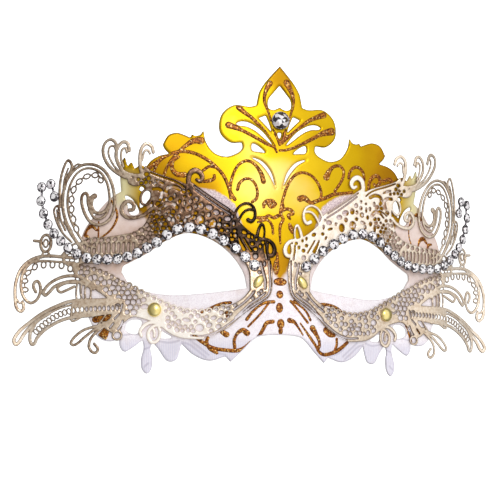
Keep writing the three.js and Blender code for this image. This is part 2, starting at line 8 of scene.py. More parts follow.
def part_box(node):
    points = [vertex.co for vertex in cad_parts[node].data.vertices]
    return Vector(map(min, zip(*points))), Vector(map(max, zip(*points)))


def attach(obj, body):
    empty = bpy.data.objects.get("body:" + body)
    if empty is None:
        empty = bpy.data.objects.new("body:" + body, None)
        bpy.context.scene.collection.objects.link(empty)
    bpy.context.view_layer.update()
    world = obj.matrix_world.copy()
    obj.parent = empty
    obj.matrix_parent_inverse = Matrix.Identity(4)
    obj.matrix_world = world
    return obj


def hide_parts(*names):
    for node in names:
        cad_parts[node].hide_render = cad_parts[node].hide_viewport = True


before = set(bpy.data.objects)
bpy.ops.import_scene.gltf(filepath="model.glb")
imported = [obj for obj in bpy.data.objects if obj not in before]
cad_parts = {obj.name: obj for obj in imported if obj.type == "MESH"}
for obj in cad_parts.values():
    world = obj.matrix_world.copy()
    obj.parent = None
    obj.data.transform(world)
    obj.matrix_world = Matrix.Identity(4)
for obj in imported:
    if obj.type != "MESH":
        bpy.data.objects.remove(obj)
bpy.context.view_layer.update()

# the face that the mask follows, in millimetres: a crest, a drop round the head, then soft bumps
# each bump: centre x, centre y, half width, half height, rise
face = {
    "crest": 37.5,
    "wrapDrop": 40,
    "wrapHalfWidth": 100,
    "tipBend": 2,
    "bumps": {
        "noseRidge": (0, -42, 17, 20, 3.5),
        "temple": (61, 29, 16, 16, 7),
        "eyeSocket": (56, -27, 16, 14, -4),
        "cheekHollow": (48, -52, 17, 16, -3.5),
    },
}
crownPlace = (0, 38)
sides = {"Right": 1, "Left": -1}
almostNothing = 1e-9
# how far from its edge a drawn area, and a line or an oval, is measured; in millimetres
areaReach, lineReach = 3.0, 1.6


# height of the face: the crest less the wrap drop times the square of x over the half width, plus for each
# bump its rise times e to the minus squares of the distances over its half sizes; then kept above zero, as
# half the sum of that height and the root of its square plus the square of the tip bend
def faceHeight(x, y):
    across = np.abs(x)
    z = face["crest"] - face["wrapDrop"] * (across / face["wrapHalfWidth"])**2
    for middle, level, wide, high, rise in face["bumps"].values():
        z = z + rise * np.exp(-((across - middle) / wide)**2 - ((y - level) / high)**2)
    return 0.5 * (z + np.hypot(z, face["tipBend"]))


# outward normal of the face: minus its slopes along x and y, and 1, brought to length 1
def faceNormal(x, y, step=0.05):
    slopeX = (faceHeight(x + step, y) - faceHeight(x - step, y)) / (2 * step)
    slopeY = (faceHeight(x, y + step) - faceHeight(x, y - step)) / (2 * step)
    return unit(np.stack([-slopeX, -slopeY, np.ones_like(slopeX)], -1))


# height of a layer a given distance out from the face: the face, plus that distance over the normal's z
def layerHeight(x, y, offset):
    return faceHeight(x, y) + offset / faceNormal(x, y)[..., 2]


# vectors over their lengths
def unit(vectors):
    return vectors / np.linalg.norm(vectors, axis=-1, keepdims=True)


# numbers written x, y, x, y
def pairs(numbers):
    return np.reshape(numbers, (-1, 2)).astype(float)


# a smooth run through points: between b and c, with a before and d after, half of 2b + (c - a) t
# + (2a - 5b + 4c - d) t squared + (3b - a - 3c + d) t cubed
def smoothLine(points, step=0.5, closed=False):
    p = np.asarray(points, float)
    if len(p) == 2:
        return p
    padded = [p[-1:], p, p[:2]] if closed else [2 * p[:1] - p[1:2], p, 2 * p[-1:] - p[-2:-1]]
    padded = np.vstack(padded)
    run = []
    for a, b, c, d in zip(padded, padded[1:], padded[2:], padded[3:]):
        count = max(2, int(np.ceil(np.linalg.norm(c - b) / step)))
        t = np.linspace(0, 1, count, endpoint=False)[:, None]
        square, cube = 2 * a - 5 * b + 4 * c - d, 3 * b - a - 3 * c + d
        run.append(0.5 * (2 * b + (c - a) * t + square * t**2 + cube * t**3))
    if not closed:
        run.append(p[-1:])
    return np.vstack(run)


# smooth runs end to end, with a corner where one meets the next; a closed outline starts where it ends
def joinedRuns(runs, start=None):
    corners = [start or runs[-1][-2:]] + [run[-2:] for run in runs]
    smooth = [smoothLine(pairs([*corner, *run]), step=0.6) for corner, run in zip(corners, runs)]
    return np.vstack([run[:-1] for run in smooth])


# an outline on the other side, its points in reverse so that it still runs the same way round
def mirrored(outline):
    return np.asarray(outline, float)[::-1] * (-1, 1)


def withMirror(half):
    return np.vstack([half, mirrored(half)])


# a smooth line with its length so far at each point, and the places at given lengths along it
def measured(points):
    run = smoothLine(points, step=0.3)
    return run, np.concatenate([[0], np.cumsum(np.linalg.norm(np.diff(run, axis=0), axis=1))])


# each place lies between two points of the line, at the share of the way that its length gives
def placesAt(run, length, at):
    return np.column_stack([np.interp(at, length, run[:, k]) for k in (0, 1)])


# which places lie inside an outline: those with an odd count of its sides to their right
def insideOf(outline, x, y):
    inside = np.zeros((len(y), len(x)), bool)
    for (ax, ay), (bx, by) in zip(outline, np.roll(outline, -1, 0)):
        rows = slice(*np.searchsorted(y, (min(ay, by), max(ay, by))))
        inside[rows] ^= x < ax + (y[rows, None] - ay) * (bx - ax) / ((by - ay) or almostNothing)
    return inside


# a drawing kept as distances in millimetres to its edge, negative inside; far from it they stop growing
class Canvas:
    def __init__(self, low, high, cell):
        self.cell, self.low = cell, low
        self.x, self.y = (np.arange(low[k], high[k] + cell, cell) for k in (0, 1))
        self.field = np.full((len(self.y), len(self.x)), areaReach)

    def window(self, lowX, lowY, highX, highY):
        columns = slice(*np.searchsorted(self.x, (lowX, highX)))
        rows = slice(*np.searchsorted(self.y, (lowY, highY)))
        return (rows, columns), self.x[None, columns], self.y[rows, None]

    # distance to a straight side near it, and the share of the way along
    def toSide(self, ax, ay, bx, by, margin):
        edges = min(ax, bx) - margin, min(ay, by) - margin, max(ax, bx) + margin, max(ay, by) + margin
        place, x, y = self.window(*edges)
        ux, uy = bx - ax, by - ay
        t = np.clip(((x - ax) * ux + (y - ay) * uy) / (ux * ux + uy * uy + almostNothing), 0, 1)
        return place, np.hypot(x - ax - t * ux, y - ay - t * uy), t

    # a line: distance to each straight bit of it, less half its width there
    def line(self, points, width):
        run, spread = smoothLine(points), np.atleast_1d(width)
        wide = np.interp(np.linspace(0, 1, len(run)), np.linspace(0, 1, len(spread)), spread)
        for a, b, aw, bw in zip(run, run[1:], wide, wide[1:]):
            place, distance, t = self.toSide(*a, *b, max(aw, bw) / 2 + lineReach)
            yield place, distance - 0.5 * (aw + t * (bw - aw))

    # an oval: with k the distance from its middle in its own radii, k (k - 1) over the size of k's slope
    def oval(self, x, y, rx, ry=None, turn=0.0):
        ry = ry or rx
        margin = max(rx, ry) + lineReach
        place, gridX, gridY = self.window(x - margin, y - margin, x + margin, y + margin)
        c, s = np.cos(np.radians(turn)), np.sin(np.radians(turn))
        u, v = (c * (gridX - x) + s * (gridY - y)) / rx, (c * (gridY - y) - s * (gridX - x)) / ry
        k = np.hypot(u, v)
        yield place, k * (k - 1) / np.maximum(np.hypot(u / rx, v / ry), 1e-6)

    # a closed outline: distance to the nearest side, negative inside
    def area(self, outline, reach=areaReach):
        best = np.full(self.field.shape, reach)
        for a, b in zip(outline, np.roll(outline, -1, 0)):
            place, distance, _ = self.toSide(*a, *b, reach)
            best[place] = np.minimum(best[place], distance)
        yield (slice(None), slice(None)), np.where(insideOf(outline, self.x, self.y), -best, best)

    def add(self, drawn):
        for place, distance in drawn:
            self.field[place] = np.minimum(self.field[place], distance)

    def cut(self, drawn):
        for place, distance in drawn:
            self.field[place] = np.maximum(self.field[place], -distance)

    def addLines(self, lines, side=1, spread=1.0):
        for width, *run in lines.values():
            self.add(self.line(pairs(run) * (side, 1), np.multiply(width, spread)))

    # how deep inside the drawing a place lies
    def depthAt(self, x, y):
        column, row = (int(round((value - low) / self.cell)) for value, low in zip((x, y), self.low))
        return -self.field[row, column]


# faces of a grid cell and the cuts through it: a walk round it from its first inside corner takes in each
# inside corner, 0 to 3 from the low left, and each side that the edge crosses, 4 to 7 from the low one
def cellPattern(corners):
    walk = []
    for k in range(corners[0], corners[0] + 4):
        here, ahead = k % 4, (k + 1) % 4
        walk += [here] * (here in corners) + [4 + here] * ((here in corners) != (ahead in corners))
    faces = [walk] if len(walk) < 5 else [walk[:4], walk[:1] + walk[3:]]
    return faces, [[a, b] for a, b in zip(walk, walk[1:]) if a > 3 and b > 3]


# the inside of a drawing as flat faces, with the points where its edge crosses each cell's sides; distances
# are at least the least one, and a crossing is at least the least share of a side away from a corner
class CutShape:
    def __init__(self, canvas, least=1e-4, leastShare=0.05):
        field = np.where(np.abs(canvas.field) < least, least, canvas.field)
        rows, columns = field.shape
        nodes, across = rows * columns, rows * (columns - 1)
        inside = field < 0
        pattern = inside[:-1, :-1] + 2 * inside[:-1, 1:] + 4 * inside[1:, 1:] + 8 * inside[1:, :-1]
        j, i = np.nonzero(pattern)
        corner = j * columns + i
        level, upright = nodes + corner - j, nodes + across + corner
        local = np.stack([corner, corner + 1, corner + columns + 1, corner + columns,
                          level, upright + 1, level + columns - 1, upright], 1)
        kinds = pattern[j, i]
        found = {4: [], 3: [], 2: []}
        for kind in range(1, 16):
            corners = [k for k in range(4) if kind >> k & 1]
            # two opposite corners alone are two separate faces
            for group in [[k] for k in corners] if kind in (5, 10) else [corners]:
                faces, cuts = cellPattern(group)
                for places in faces + cuts:
                    found[len(places)].append(local[kinds == kind][:, places])
        groups = [np.vstack(found[size]) for size in (4, 3, 2)]
        used = np.unique(np.concatenate([group.ravel() for group in groups]))
        renamed = np.full(nodes + across + (rows - 1) * columns, -1)
        renamed[used] = np.arange(len(used))
        self.quads, self.triangles, self.rim = (renamed[group] for group in groups)
        # a point lies on the way from one grid node to the next, at the share of the first one's distance in
        # the fall from it to the second one's; a node itself has share 0
        kind = (used >= nodes).astype(int) + (used >= nodes + across)
        level = used - nodes
        self.first = np.choose(kind, [used, level + level // (columns - 1), level - across])
        self.second = self.first + np.choose(kind, [0, 1, columns])
        start, gap = field.ravel()[self.first], field.ravel()[self.first] - field.ravel()[self.second]
        share = np.clip(start / np.where(gap == 0, 1, gap), leastShare, 1 - leastShare)
        self.share = np.where(kind == 0, 0, share)
        self.depth = np.where(kind == 0, np.maximum(-start, 0), 0)
        self.x, self.y = (self.sample(grid) for grid in np.meshgrid(canvas.x, canvas.y))

    def sample(self, grid):
        flat = grid.ravel()
        return flat[self.first] * (1 - self.share) + flat[self.second] * self.share


# drop below a sheet's face near its edge, a quarter round: the radius less the root of its square less the
# square of what is left of it at that depth
def edgeRound(depth, radius):
    return radius - np.sqrt(np.maximum(radius**2 - np.maximum(radius - depth, 0)**2, 0))


# a closed sheet that follows the face: top and underside at the heights of their layers, and walls round the
# rims
def sheetFrom(name, shape, low, high, side=1, values=None):
    count = len(shape.x)
    points = np.vstack([np.column_stack([side * shape.x, shape.y, layerHeight(shape.x, shape.y, level)])
                        for level in (high, low)])
    a, b = shape.rim.T
    walls = np.column_stack([b, a, a + count, b + count])
    faces = [shape.quads, shape.triangles]
    faces += [group[:, ::-1] + count for group in faces] + [walls]
    both = {key: np.tile(value, 2) for key, value in (values or {}).items()}
    both["inner"] = np.repeat([0.0, 1.0], count)
    return meshPiece(name, points, [group[:, ::side] for group in faces], pointValues=both, sharpAngle=48)


# places are given in the mask's own millimetres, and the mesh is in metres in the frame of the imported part
def meshPiece(name, points, faces, pointValues=None, faceValues=None, sharpAngle=None):
    mesh = bpy.data.meshes.new(name)
    corners = np.concatenate([group.ravel() for group in faces]).astype(np.int32)
    sizes = np.concatenate([np.full(len(group), group.shape[1]) for group in faces])
    mesh.vertices.add(len(points))
    mesh.vertices.foreach_set("co", ((points + shift) / 1000).astype(np.float32).ravel())
    mesh.loops.add(len(corners))
    mesh.loops.foreach_set("vertex_index", corners)
    mesh.polygons.add(len(sizes))
    mesh.polygons.foreach_set("loop_start", (np.cumsum(sizes) - sizes).astype(np.int32))
    mesh.update(calc_edges=True)
    for domain, table in (("POINT", pointValues), ("FACE", faceValues)):
        for key, value in (table or {}).items():
            layer = mesh.attributes.new(key, "FLOAT", domain)
            layer.data.foreach_set("value", np.asarray(value, np.float32))
    if sharpAngle is not None:
        mesh.shade_smooth()
        mesh.set_sharp_from_angle(angle=math.radians(sharpAngle))
    piece = bpy.data.objects.new(name, mesh)
    bpy.context.scene.collection.objects.link(piece)
    return piece


# a profile of radius and height turned round an axis: at each angle, the radius times its cosine and sine,
# and the height; rings of quads, with a fan at each end
def turnedProfile(profile, count):
    radius, height = np.asarray(profile, float)[1:-1].T
    angle = np.linspace(0, 2 * np.pi, count, endpoint=False)
    rings = np.stack([np.outer(radius, np.cos(angle)), np.outer(radius, np.sin(angle)),
                      np.outer(height, np.ones(count))], -1)
    points = np.vstack([rings.reshape(-1, 3), [(0, 0, profile[0][1]), (0, 0, profile[-1][1])]])
    ring = np.arange(count)
    ahead = (ring + 1) % count
    last, low, high = (len(radius) - 1) * count, len(points) - 2, len(points) - 1
    walls = np.column_stack([ring, ahead, count + ahead, count + ring])
    quads = np.concatenate([walls + k * count for k in range(len(radius) - 1)])
    fans = np.concatenate([np.column_stack([ahead, ring, np.full(count, low)]),
                           np.column_stack([last + ring, last + ahead, np.full(count, high)])])
    return points, [quads, fans]


# where a small shape stands at each place on the face: out along the normal, with its up axis as the normal,
# its right the y axis crossed with up, and its ahead up crossed with right, both turned about up
def standing(places, offset, turns=0.0):
    x, y = np.asarray(places, float).T
    up = faceNormal(x, y)
    right = unit(np.cross(np.array([0.0, 1.0, 0.0]), up))
    ahead = np.cross(up, right)
    c, s = (part(np.broadcast_to(turns, x.shape))[:, None] for part in (np.cos, np.sin))
    axes = np.stack([c * right + s * ahead, c * ahead - s * right, up], 1)
    return np.column_stack([x, y, faceHeight(x, y)]) + offset * up, axes


# one mesh of a small shape set down at each place
def copies(name, shape, standings, **look):
    points, faces = shape
    base, axes = standings
    starts = np.arange(len(base))[:, None, None] * len(points)
    spread = (base[:, None] + points @ axes).reshape(-1, 3)
    faces = [(group + starts).reshape(-1, group.shape[1]) for group in faces]
    return meshPiece(name, spread, faces, **look)


# a piece with its material, its body, the imported nodes that it stands for, and a slot name that is not used
def finished(piece, slotName, material, *nodes):
    piece.data.materials.append(material)
    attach(piece, "root")
    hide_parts(*nodes)


# a colour as it is seen on screen, 0 to 255, turned into the light values that a shader takes
def screenColour(red, green, blue):
    share = np.array([red, green, blue]) / 255
    return (*np.where(share <= 0.04045, share / 12.92, ((share + 0.055) / 1.055)**2.4).tolist(), 1.0)


# a Math node for an arithmetic sign, with the two sides swapped where the socket stands second
def sign(operation, swapped=False):
    def apply(wire, other):
        values = (other, wire) if swapped else (wire, other)
        return wire.recipe.node("ShaderNodeMath", {"operation": operation}, dict(enumerate(values)))
    return apply


# one socket of a node tree; arithmetic on it adds Math nodes
class Wire:
    def __init__(self, recipe, socket):
        self.recipe, self.socket = recipe, socket

    __add__, __radd__ = sign("ADD"), sign("ADD", True)
    __sub__, __rsub__ = sign("SUBTRACT"), sign("SUBTRACT", True)
    __mul__, __rmul__ = sign("MULTIPLY"), sign("MULTIPLY", True)
    __gt__ = sign("GREATER_THAN")


# the node tree of one material, or of the world; colours are given as seen on screen
class Recipe:
    def __init__(self, owner):
        owner.use_nodes = True
        self.owner, self.tree = owner, owner.node_tree
        self.tree.nodes.clear()

    # a node of a type: first its settings, or the stops of a ramp as place and colour, then the values or
    # links of its sockets; gives one of its outputs
    def node(self, kind, settings=None, sockets=None, give=0):
        node = self.tree.nodes.new(kind)
        for key, value in (settings or {}).items():
            if key != "stops":
                setattr(node, key, value)
                continue
            elements = node.color_ramp.elements
            while len(elements) < len(value):
                elements.new(0.5)
            for element, (place, *colour) in zip(elements, value):
                element.position, element.color = place, screenColour(*colour)
        for key, value in (sockets or {}).items():
            if isinstance(value, Wire):
                self.tree.links.new(value.socket, node.inputs[key])
            else:
                node.inputs[key].default_value = value
        return Wire(self, node.outputs[give]) if node.outputs else None

    def place(self):
        return self.node("ShaderNodeTexCoord", give="Object")

    def painted(self, name):
        return self.node("ShaderNodeAttribute", {"attribute_name": name}, give="Fac")

    def mix(self, share, *colours):
        first, second = (value if isinstance(value, Wire) else screenColour(*value) for value in colours)
        return self.node("ShaderNodeMix", {"data_type": "RGBA"}, {0: share, 6: first, 7: second}, give=2)

    # a run of colours, each after its place from 0 to 1
    def ramp(self, share, *stops):
        return self.node("ShaderNodeValToRGB", {"stops": stops}, {"Fac": share})

    # eased step from 0 at low to 1 at high: with t the share of the way, t squared times 3 less 2 t
    def ease(self, value, low, high):
        return self.node("ShaderNodeMapRange", {"interpolation_type": "SMOOTHSTEP"},
                         {"Value": value, "From Min": low, "From Max": high})

    # a pattern over the piece; its size is in millimetres
    def pattern(self, kind, size, give, **more):
        sockets = {"Vector": self.place(), "Scale": 1000 / size, **more}
        return self.node("ShaderNodeTex" + kind, {}, sockets, give)

    # soft and cloudy
    def cloud(self, size, detail=2.0):
        return self.pattern("Noise", size, 0, Detail=detail)

    # flakes with a colour of their own each
    def flakes(self, size):
        return self.pattern("Voronoi", size, "Color")

    def part(self, whole, which):
        kind = "ShaderNodeSeparateXYZ" if which in "XYZ" else "ShaderNodeSeparateColor"
        return self.node(kind, {}, {0: whole}, give=which)

    # relief of a height; its distance is in millimetres
    def bump(self, height, distance, strength):
        sockets = {"Height": height, "Distance": distance / 1000, "Strength": strength}
        return self.node("ShaderNodeBump", {}, sockets)

    def shade(self, sockets):
        surface = self.node("ShaderNodeBsdfPrincipled", {}, sockets)
        self.node("ShaderNodeOutputMaterial", {}, {"Surface": surface})
        return self.owner


def material(name):
    return Recipe(bpy.data.materials.new(name))


boxLow, boxHigh = (np.array(corner) * 1000 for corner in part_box("crown_stone"))
shift = np.array([0, (boxLow[1] + boxHigh[1]) / 2 - crownPlace[1], boxLow[2] - faceHeight(*crownPlace)])

# moulded shell
shell = {
    "canvas": ((-79, -66), (79, 63), 0.5),
    # levels of its two sides, counted out from the face
    "outside": -0.5,
    "inside": -2.0,
    # rounding of the edge in front, and how much of it the underside has
    "roundedEdge": 0.7,
    "undersideShare": 0.6,
    "creaseShadeWidth": 0.3,
    # right half of the outline as smooth runs, each from the end of the run before it
    "top": [0, 61.2],
    "edge": [
        [3.3, 57.4, 6.3, 53.7, 8.4, 50, 9.1, 47, 9.6, 44.3],
        [12.6, 43.7, 18.8, 44.1, 23.6, 40, 24.2, 33.2, 20.2, 28.9, 15.4, 28.8],
        [15.1, 26.6, 17, 24.5, 21.6, 22.9, 26.4, 24.5, 29.6, 29, 30.6, 33.8],
        [31.8, 31.8, 33.8, 31.3, 35.2, 31.9],
        [35.7, 30.5],
        [38.2, 31.6, 41.2, 32.4, 44.6, 31.2, 46.8, 27.3],
        [45.8, 25.4, 44, 23.7],
        [47.6, 22.9, 50.9, 21, 53.2, 18.2],
        [55.4, 19, 57.4, 17.6],
        [58.8, 20.2, 60.2, 18.6],
        [61.6, 22.2, 62.9, 18.4, 62.8, 14, 62.2, 9],
        [65.6, 7, 69.4, 3.2, 73.8, -2.4, 76.6, -7.4, 77.8, -14, 77.8, -24, 76.8, -34, 72, -45],
        [70.6, -48.6, 67.5, -51, 64, -51.3, 61.4, -50],
        [61.2, -53.2, 59.4, -55.5, 56.4, -54, 52.4, -50.8],
        [51.9, -54, 52.9, -58.6, 52.5, -62.4, 50.6, -64.2, 48.8, -62, 48.6, -58, 49.3, -54, 48.4, -51.6],
        [46.2, -54.4, 43, -59, 39.6, -58.7, 38.3, -55.4, 37.6, -52.2],
        [33, -56.6, 27.2, -58.9, 20.9, -57.2],
        [19, -59.3],
        [14.8, -55.2, 9.6, -50, 5, -48.8, 0, -48.7],
    ],
    "eye": [
        [20, -31.2, 30, -32.3, 40, -32.9, 49, -31.8, 57, -28.8, 61, -23.4],
        [60.4, -21, 58, -19.6],
        [51, -15.8, 44, -11, 36, -8.2, 27, -10.8, 19.5, -16.5, 14.6, -23.5, 13, -30.2],
    ],
    "openings": {
        "besideStone": [5.7, 40.3, 5.7, 40.3, 8.6, 39.1, 8.6, 39.1, 6.2, 36.7, 3.2, 33.6, 3.2, 33.6,
            4.2, 36.8],
        "belowStone": [-0.7, 33.2, 0.8, 33.2, 0.1, 30.9],
        "lobeSlot": [17.6, 36.5, 15.6, 37.5, 12, 36.9, 7, 33.6, 2.9, 28.4, 5.8, 30.5, 9.6, 33.6, 13.2, 35.4,
            16.4, 35.8],
        "underLobe": [11.1, 28.5, 8.6, 27.6, 5.9, 25.1, 8.4, 25.2, 11.1, 25.7],
        "foreheadSlit": [11.5, 22.9, 7, 21.3, 3.3, 16.9, 1.5, 10.6, 2.7, 13.4, 4.7, 16.9, 7.7, 20.4],
        "templeDrop": [60.6, 7.3, 57.6, 5.6, 55, 0.8, 56.6, -0.7, 58.6, 0, 59.6, 3.6],
        "templeCrescent": [51.2, 8.8, 53, 9, 54.2, 7, 54.8, 4.6, 54.6, 2.2, 53.4, 3, 52.2, 4.4, 51, 6.4],
        "templeHole": [53.2, 9.6, 54.4, 10.8, 55.2, 9.6, 54.2, 8.8],
        "cheekGap": [52.8, -43.4, 56, -42.6, 58.6, -44, 59, -46.8, 57, -48.2, 54.2, -48],
        "petalGap": [45.9, -46.9, 43, -48.4, 41.2, -49.8, 45.4, -49.9],
    },
    "crownWindow": [0, 52.9, 2.4, 50, 4.6, 46.9, 4.6, 43.6, 2.4, 42.8, 0, 43.9],
    "goldArea": [0, 64, 64, 64, 64, 4, 60, 4, 56, 2, 52, -2, 47, -12, 36, -9, 26, -11, 14, -18, 8, -14,
        4.6, -18, 2.6, -23, 0, -26.6],
    "patchArea": [16, -4, 20, 2, 27, 5, 34, 9, 41, 10, 50, 14, 53, 8, 51, -4, 46, -12, 36, -9, 26, -11,
        17, -16],
    "lilacArea": [15, -5, 16.6, -1, 18, 3.4, 21.6, 6.4, 26, 8.9, 31, 9.8, 34.6, 10.6, 34.4, 6.6, 30, 2.6,
        25, -0.6, 20, -4.6],
    # painted light and shade on the gold: x, y, reach, tone; lighter towards the left and at the forehead,
    # darker to the right and under the metal plates
    "goldLightAndShade": [(0, 58, 6, 0.26), (-8, 48, 5, 0.7), (8, 48, 5, 0.55), (-20, 39, 7, 0.78),
        (-12, 42, 6, 0.7), (20, 39, 7, 0.6), (19, 31, 5, 0.42), (0, 29, 6, 0.6), (0, 18, 5, 1),
        (-3, 13, 4, 0.95), (-12, 24, 6, 0.85), (-24, 22, 7, 0.68), (-41, 28, 6, 0.36), (-46, 27, 3, 0.4),
        (-34, 20, 6, 0.6), (-33, 30, 4, 0.42), (-50, 19, 6, 0.3), (12, 22, 6, 0.75), (22, 20, 6, 0.62),
        (31, 26, 6, 0.55), (41, 28, 6, 0.38), (46, 27, 3, 0.2), (50, 19, 6, 0.08), (37, 15, 6, 0.42),
        (-14, 8, 7, 0.95), (12, 8, 6, 0.9), (24, 14, 5, 0.68), (0, 4, 5, 0.82), (0, -8, 5, 0.55),
        (-3, -14, 4, 0.28), (0, -22, 5, 0.2), (-57, 12, 5, 0.5), (57, 12, 5, 0.6), (-35, 0, 14, 0.2),
        (35, 0, 14, 0.3)],
    "tanTones": [(64, -20, 5, 0.75), (60, -14, 6, 0.7), (70, -13, 6, 0.6), (66, 4, 5, 0.3),
        (60, 2, 5, 0.25), (66, -5, 5, 0.3), (73, -28, 5, 0.12), (66, -30, 6, 0.08), (56, -38, 6, 0.2),
        (14, -22, 4, 0.3), (9, -30, 4, 0.3), (14, -34, 5, 0.15), (0, -34, 6, 0.05), (30, -40, 12, 0),
        (60, -44, 8, 0), (30, -55, 12, 0), (76, -18, 4, 0.5)],
    # dark lines painted where the petals and the lower lobe crease, as painted shade
    "creaseShadeLines": [
        [37.4, -51.6, 34.6, -52.6, 31.6, -55, 28.4, -57.6],
        [34.4, -50.8, 31, -53.6, 27.4, -56.6],
        [38.6, -51, 42, -51.8, 46.4, -51.2],
        [53, -48.8, 56, -48.3, 60.4, -49],
        [49.6, -53.6, 51.4, -54.4],
        [50.2, -60, 51.6, -61.4],
        [30, -50.8, 26, -55, 21, -56.6],
    ],
    "rivetHoles": [(47.8, -38.8), (8.8, -27.8)],
    "rivetHoleRadius": 1.3,
    # flat pad moulded on the inside of each temple, where a band is glued
    "pad": {"place": (68, -14), "radius": 5, "proud": 0.8, "slope": 0.4},
    # heights in metres between which the petals' grey comes in, and the warmth under the brow; ribs a metre
    "petalTop": (-0.052, -0.046),
    "browWarmth": (-0.038, -0.004),
    "ribsPerMetre": 380,
    # the tail is the whiter part of the gold towards each side
    "tail": {"from": 55, "width": 6, "leftTop": 18, "leftFade": 5},
    # how much of the tan tone the right side has
    "rightTan": 0.6,
}


def drawShell(canvas):
    canvas.add(canvas.area(withMirror(joinedRuns(shell["edge"], shell["top"]))))
    openings = [smoothLine(pairs(points), closed=True) for points in shell["openings"].values()]
    for opening in [joinedRuns(shell["eye"])] + openings:
        for outline in (opening, mirrored(opening)):
            canvas.cut(canvas.area(outline))
    canvas.cut(canvas.area(withMirror(smoothLine(pairs(shell["crownWindow"])))))
    for x, y in shell["rivetHoles"]:
        for side in sides.values():
            canvas.cut(canvas.oval(side * x, y, shell["rivetHoleRadius"]))


# tone of a finish at a point: the mean of the listed tones, each counted by e to the minus square of its
# distance over its reach
def toneAt(places, x, y, least=1e-6):
    middleX, middleY, reach, tone = np.array(places, float).T
    bell = np.exp(-((x[:, None] - middleX)**2 + (y[:, None] - middleY)**2) / reach**2) + least
    return (bell * tone).sum(1) / bell.sum(1)


# distance to the edge of painted areas, negative inside
def paintedField(*outlines):
    canvas = Canvas(*shell["canvas"])
    for outline in outlines:
        canvas.add(canvas.area(outline, reach=4.0))
    return canvas.field


canvas = Canvas(*shell["canvas"])
drawShell(canvas)
shape = CutShape(canvas)
gold, patch, lilac = (pairs(shell[key]) for key in ("goldArea", "patchArea", "lilacArea"))
creaseShadeLines = Canvas(*shell["canvas"])
for side in sides.values():
    creaseShadeLines.addLines({k: [shell["creaseShadeWidth"], *vein] for k, vein in enumerate(shell["creaseShadeLines"])}, side)
across, left = np.abs(shape.x), shape.x < 0
pad, tail = shell["pad"], shell["tail"]
padReach = np.hypot(across - pad["place"][0], shape.y - pad["place"][1])
# the pad ends halfway down its slope
padShare = np.clip((pad["radius"] - padReach) / pad["slope"] + 0.5, 0, 1)
tailShare = np.clip((across - tail["from"]) / tail["width"], 0, 1)
leftShare = np.clip((tail["leftTop"] - shape.y) / tail["leftFade"], 0, 1)
edgeDrop = edgeRound(shape.depth, shell["roundedEdge"])
underside = shell["inside"] - pad["proud"] * padShare + shell["undersideShare"] * edgeDrop
shellPiece = sheetFrom("maskShell", shape, underside, shell["outside"] - edgeDrop, values={
    "gold": shape.sample(paintedField(withMirror(gold))),
    "lilac": shape.sample(paintedField(lilac, mirrored(lilac))),
    "vein": shape.sample(creaseShadeLines.field),
    "patch": shape.sample(paintedField(patch, mirrored(patch))),
    "tone": toneAt(shell["goldLightAndShade"], shape.x, shape.y),
    "tan": toneAt(shell["tanTones"], across, shape.y) * np.where(left, 1, shell["rightTan"]),
    "tail": tailShare * np.where(left, leftShare, 1),
})
print("shell", len(shellPiece.data.polygons), "faces")

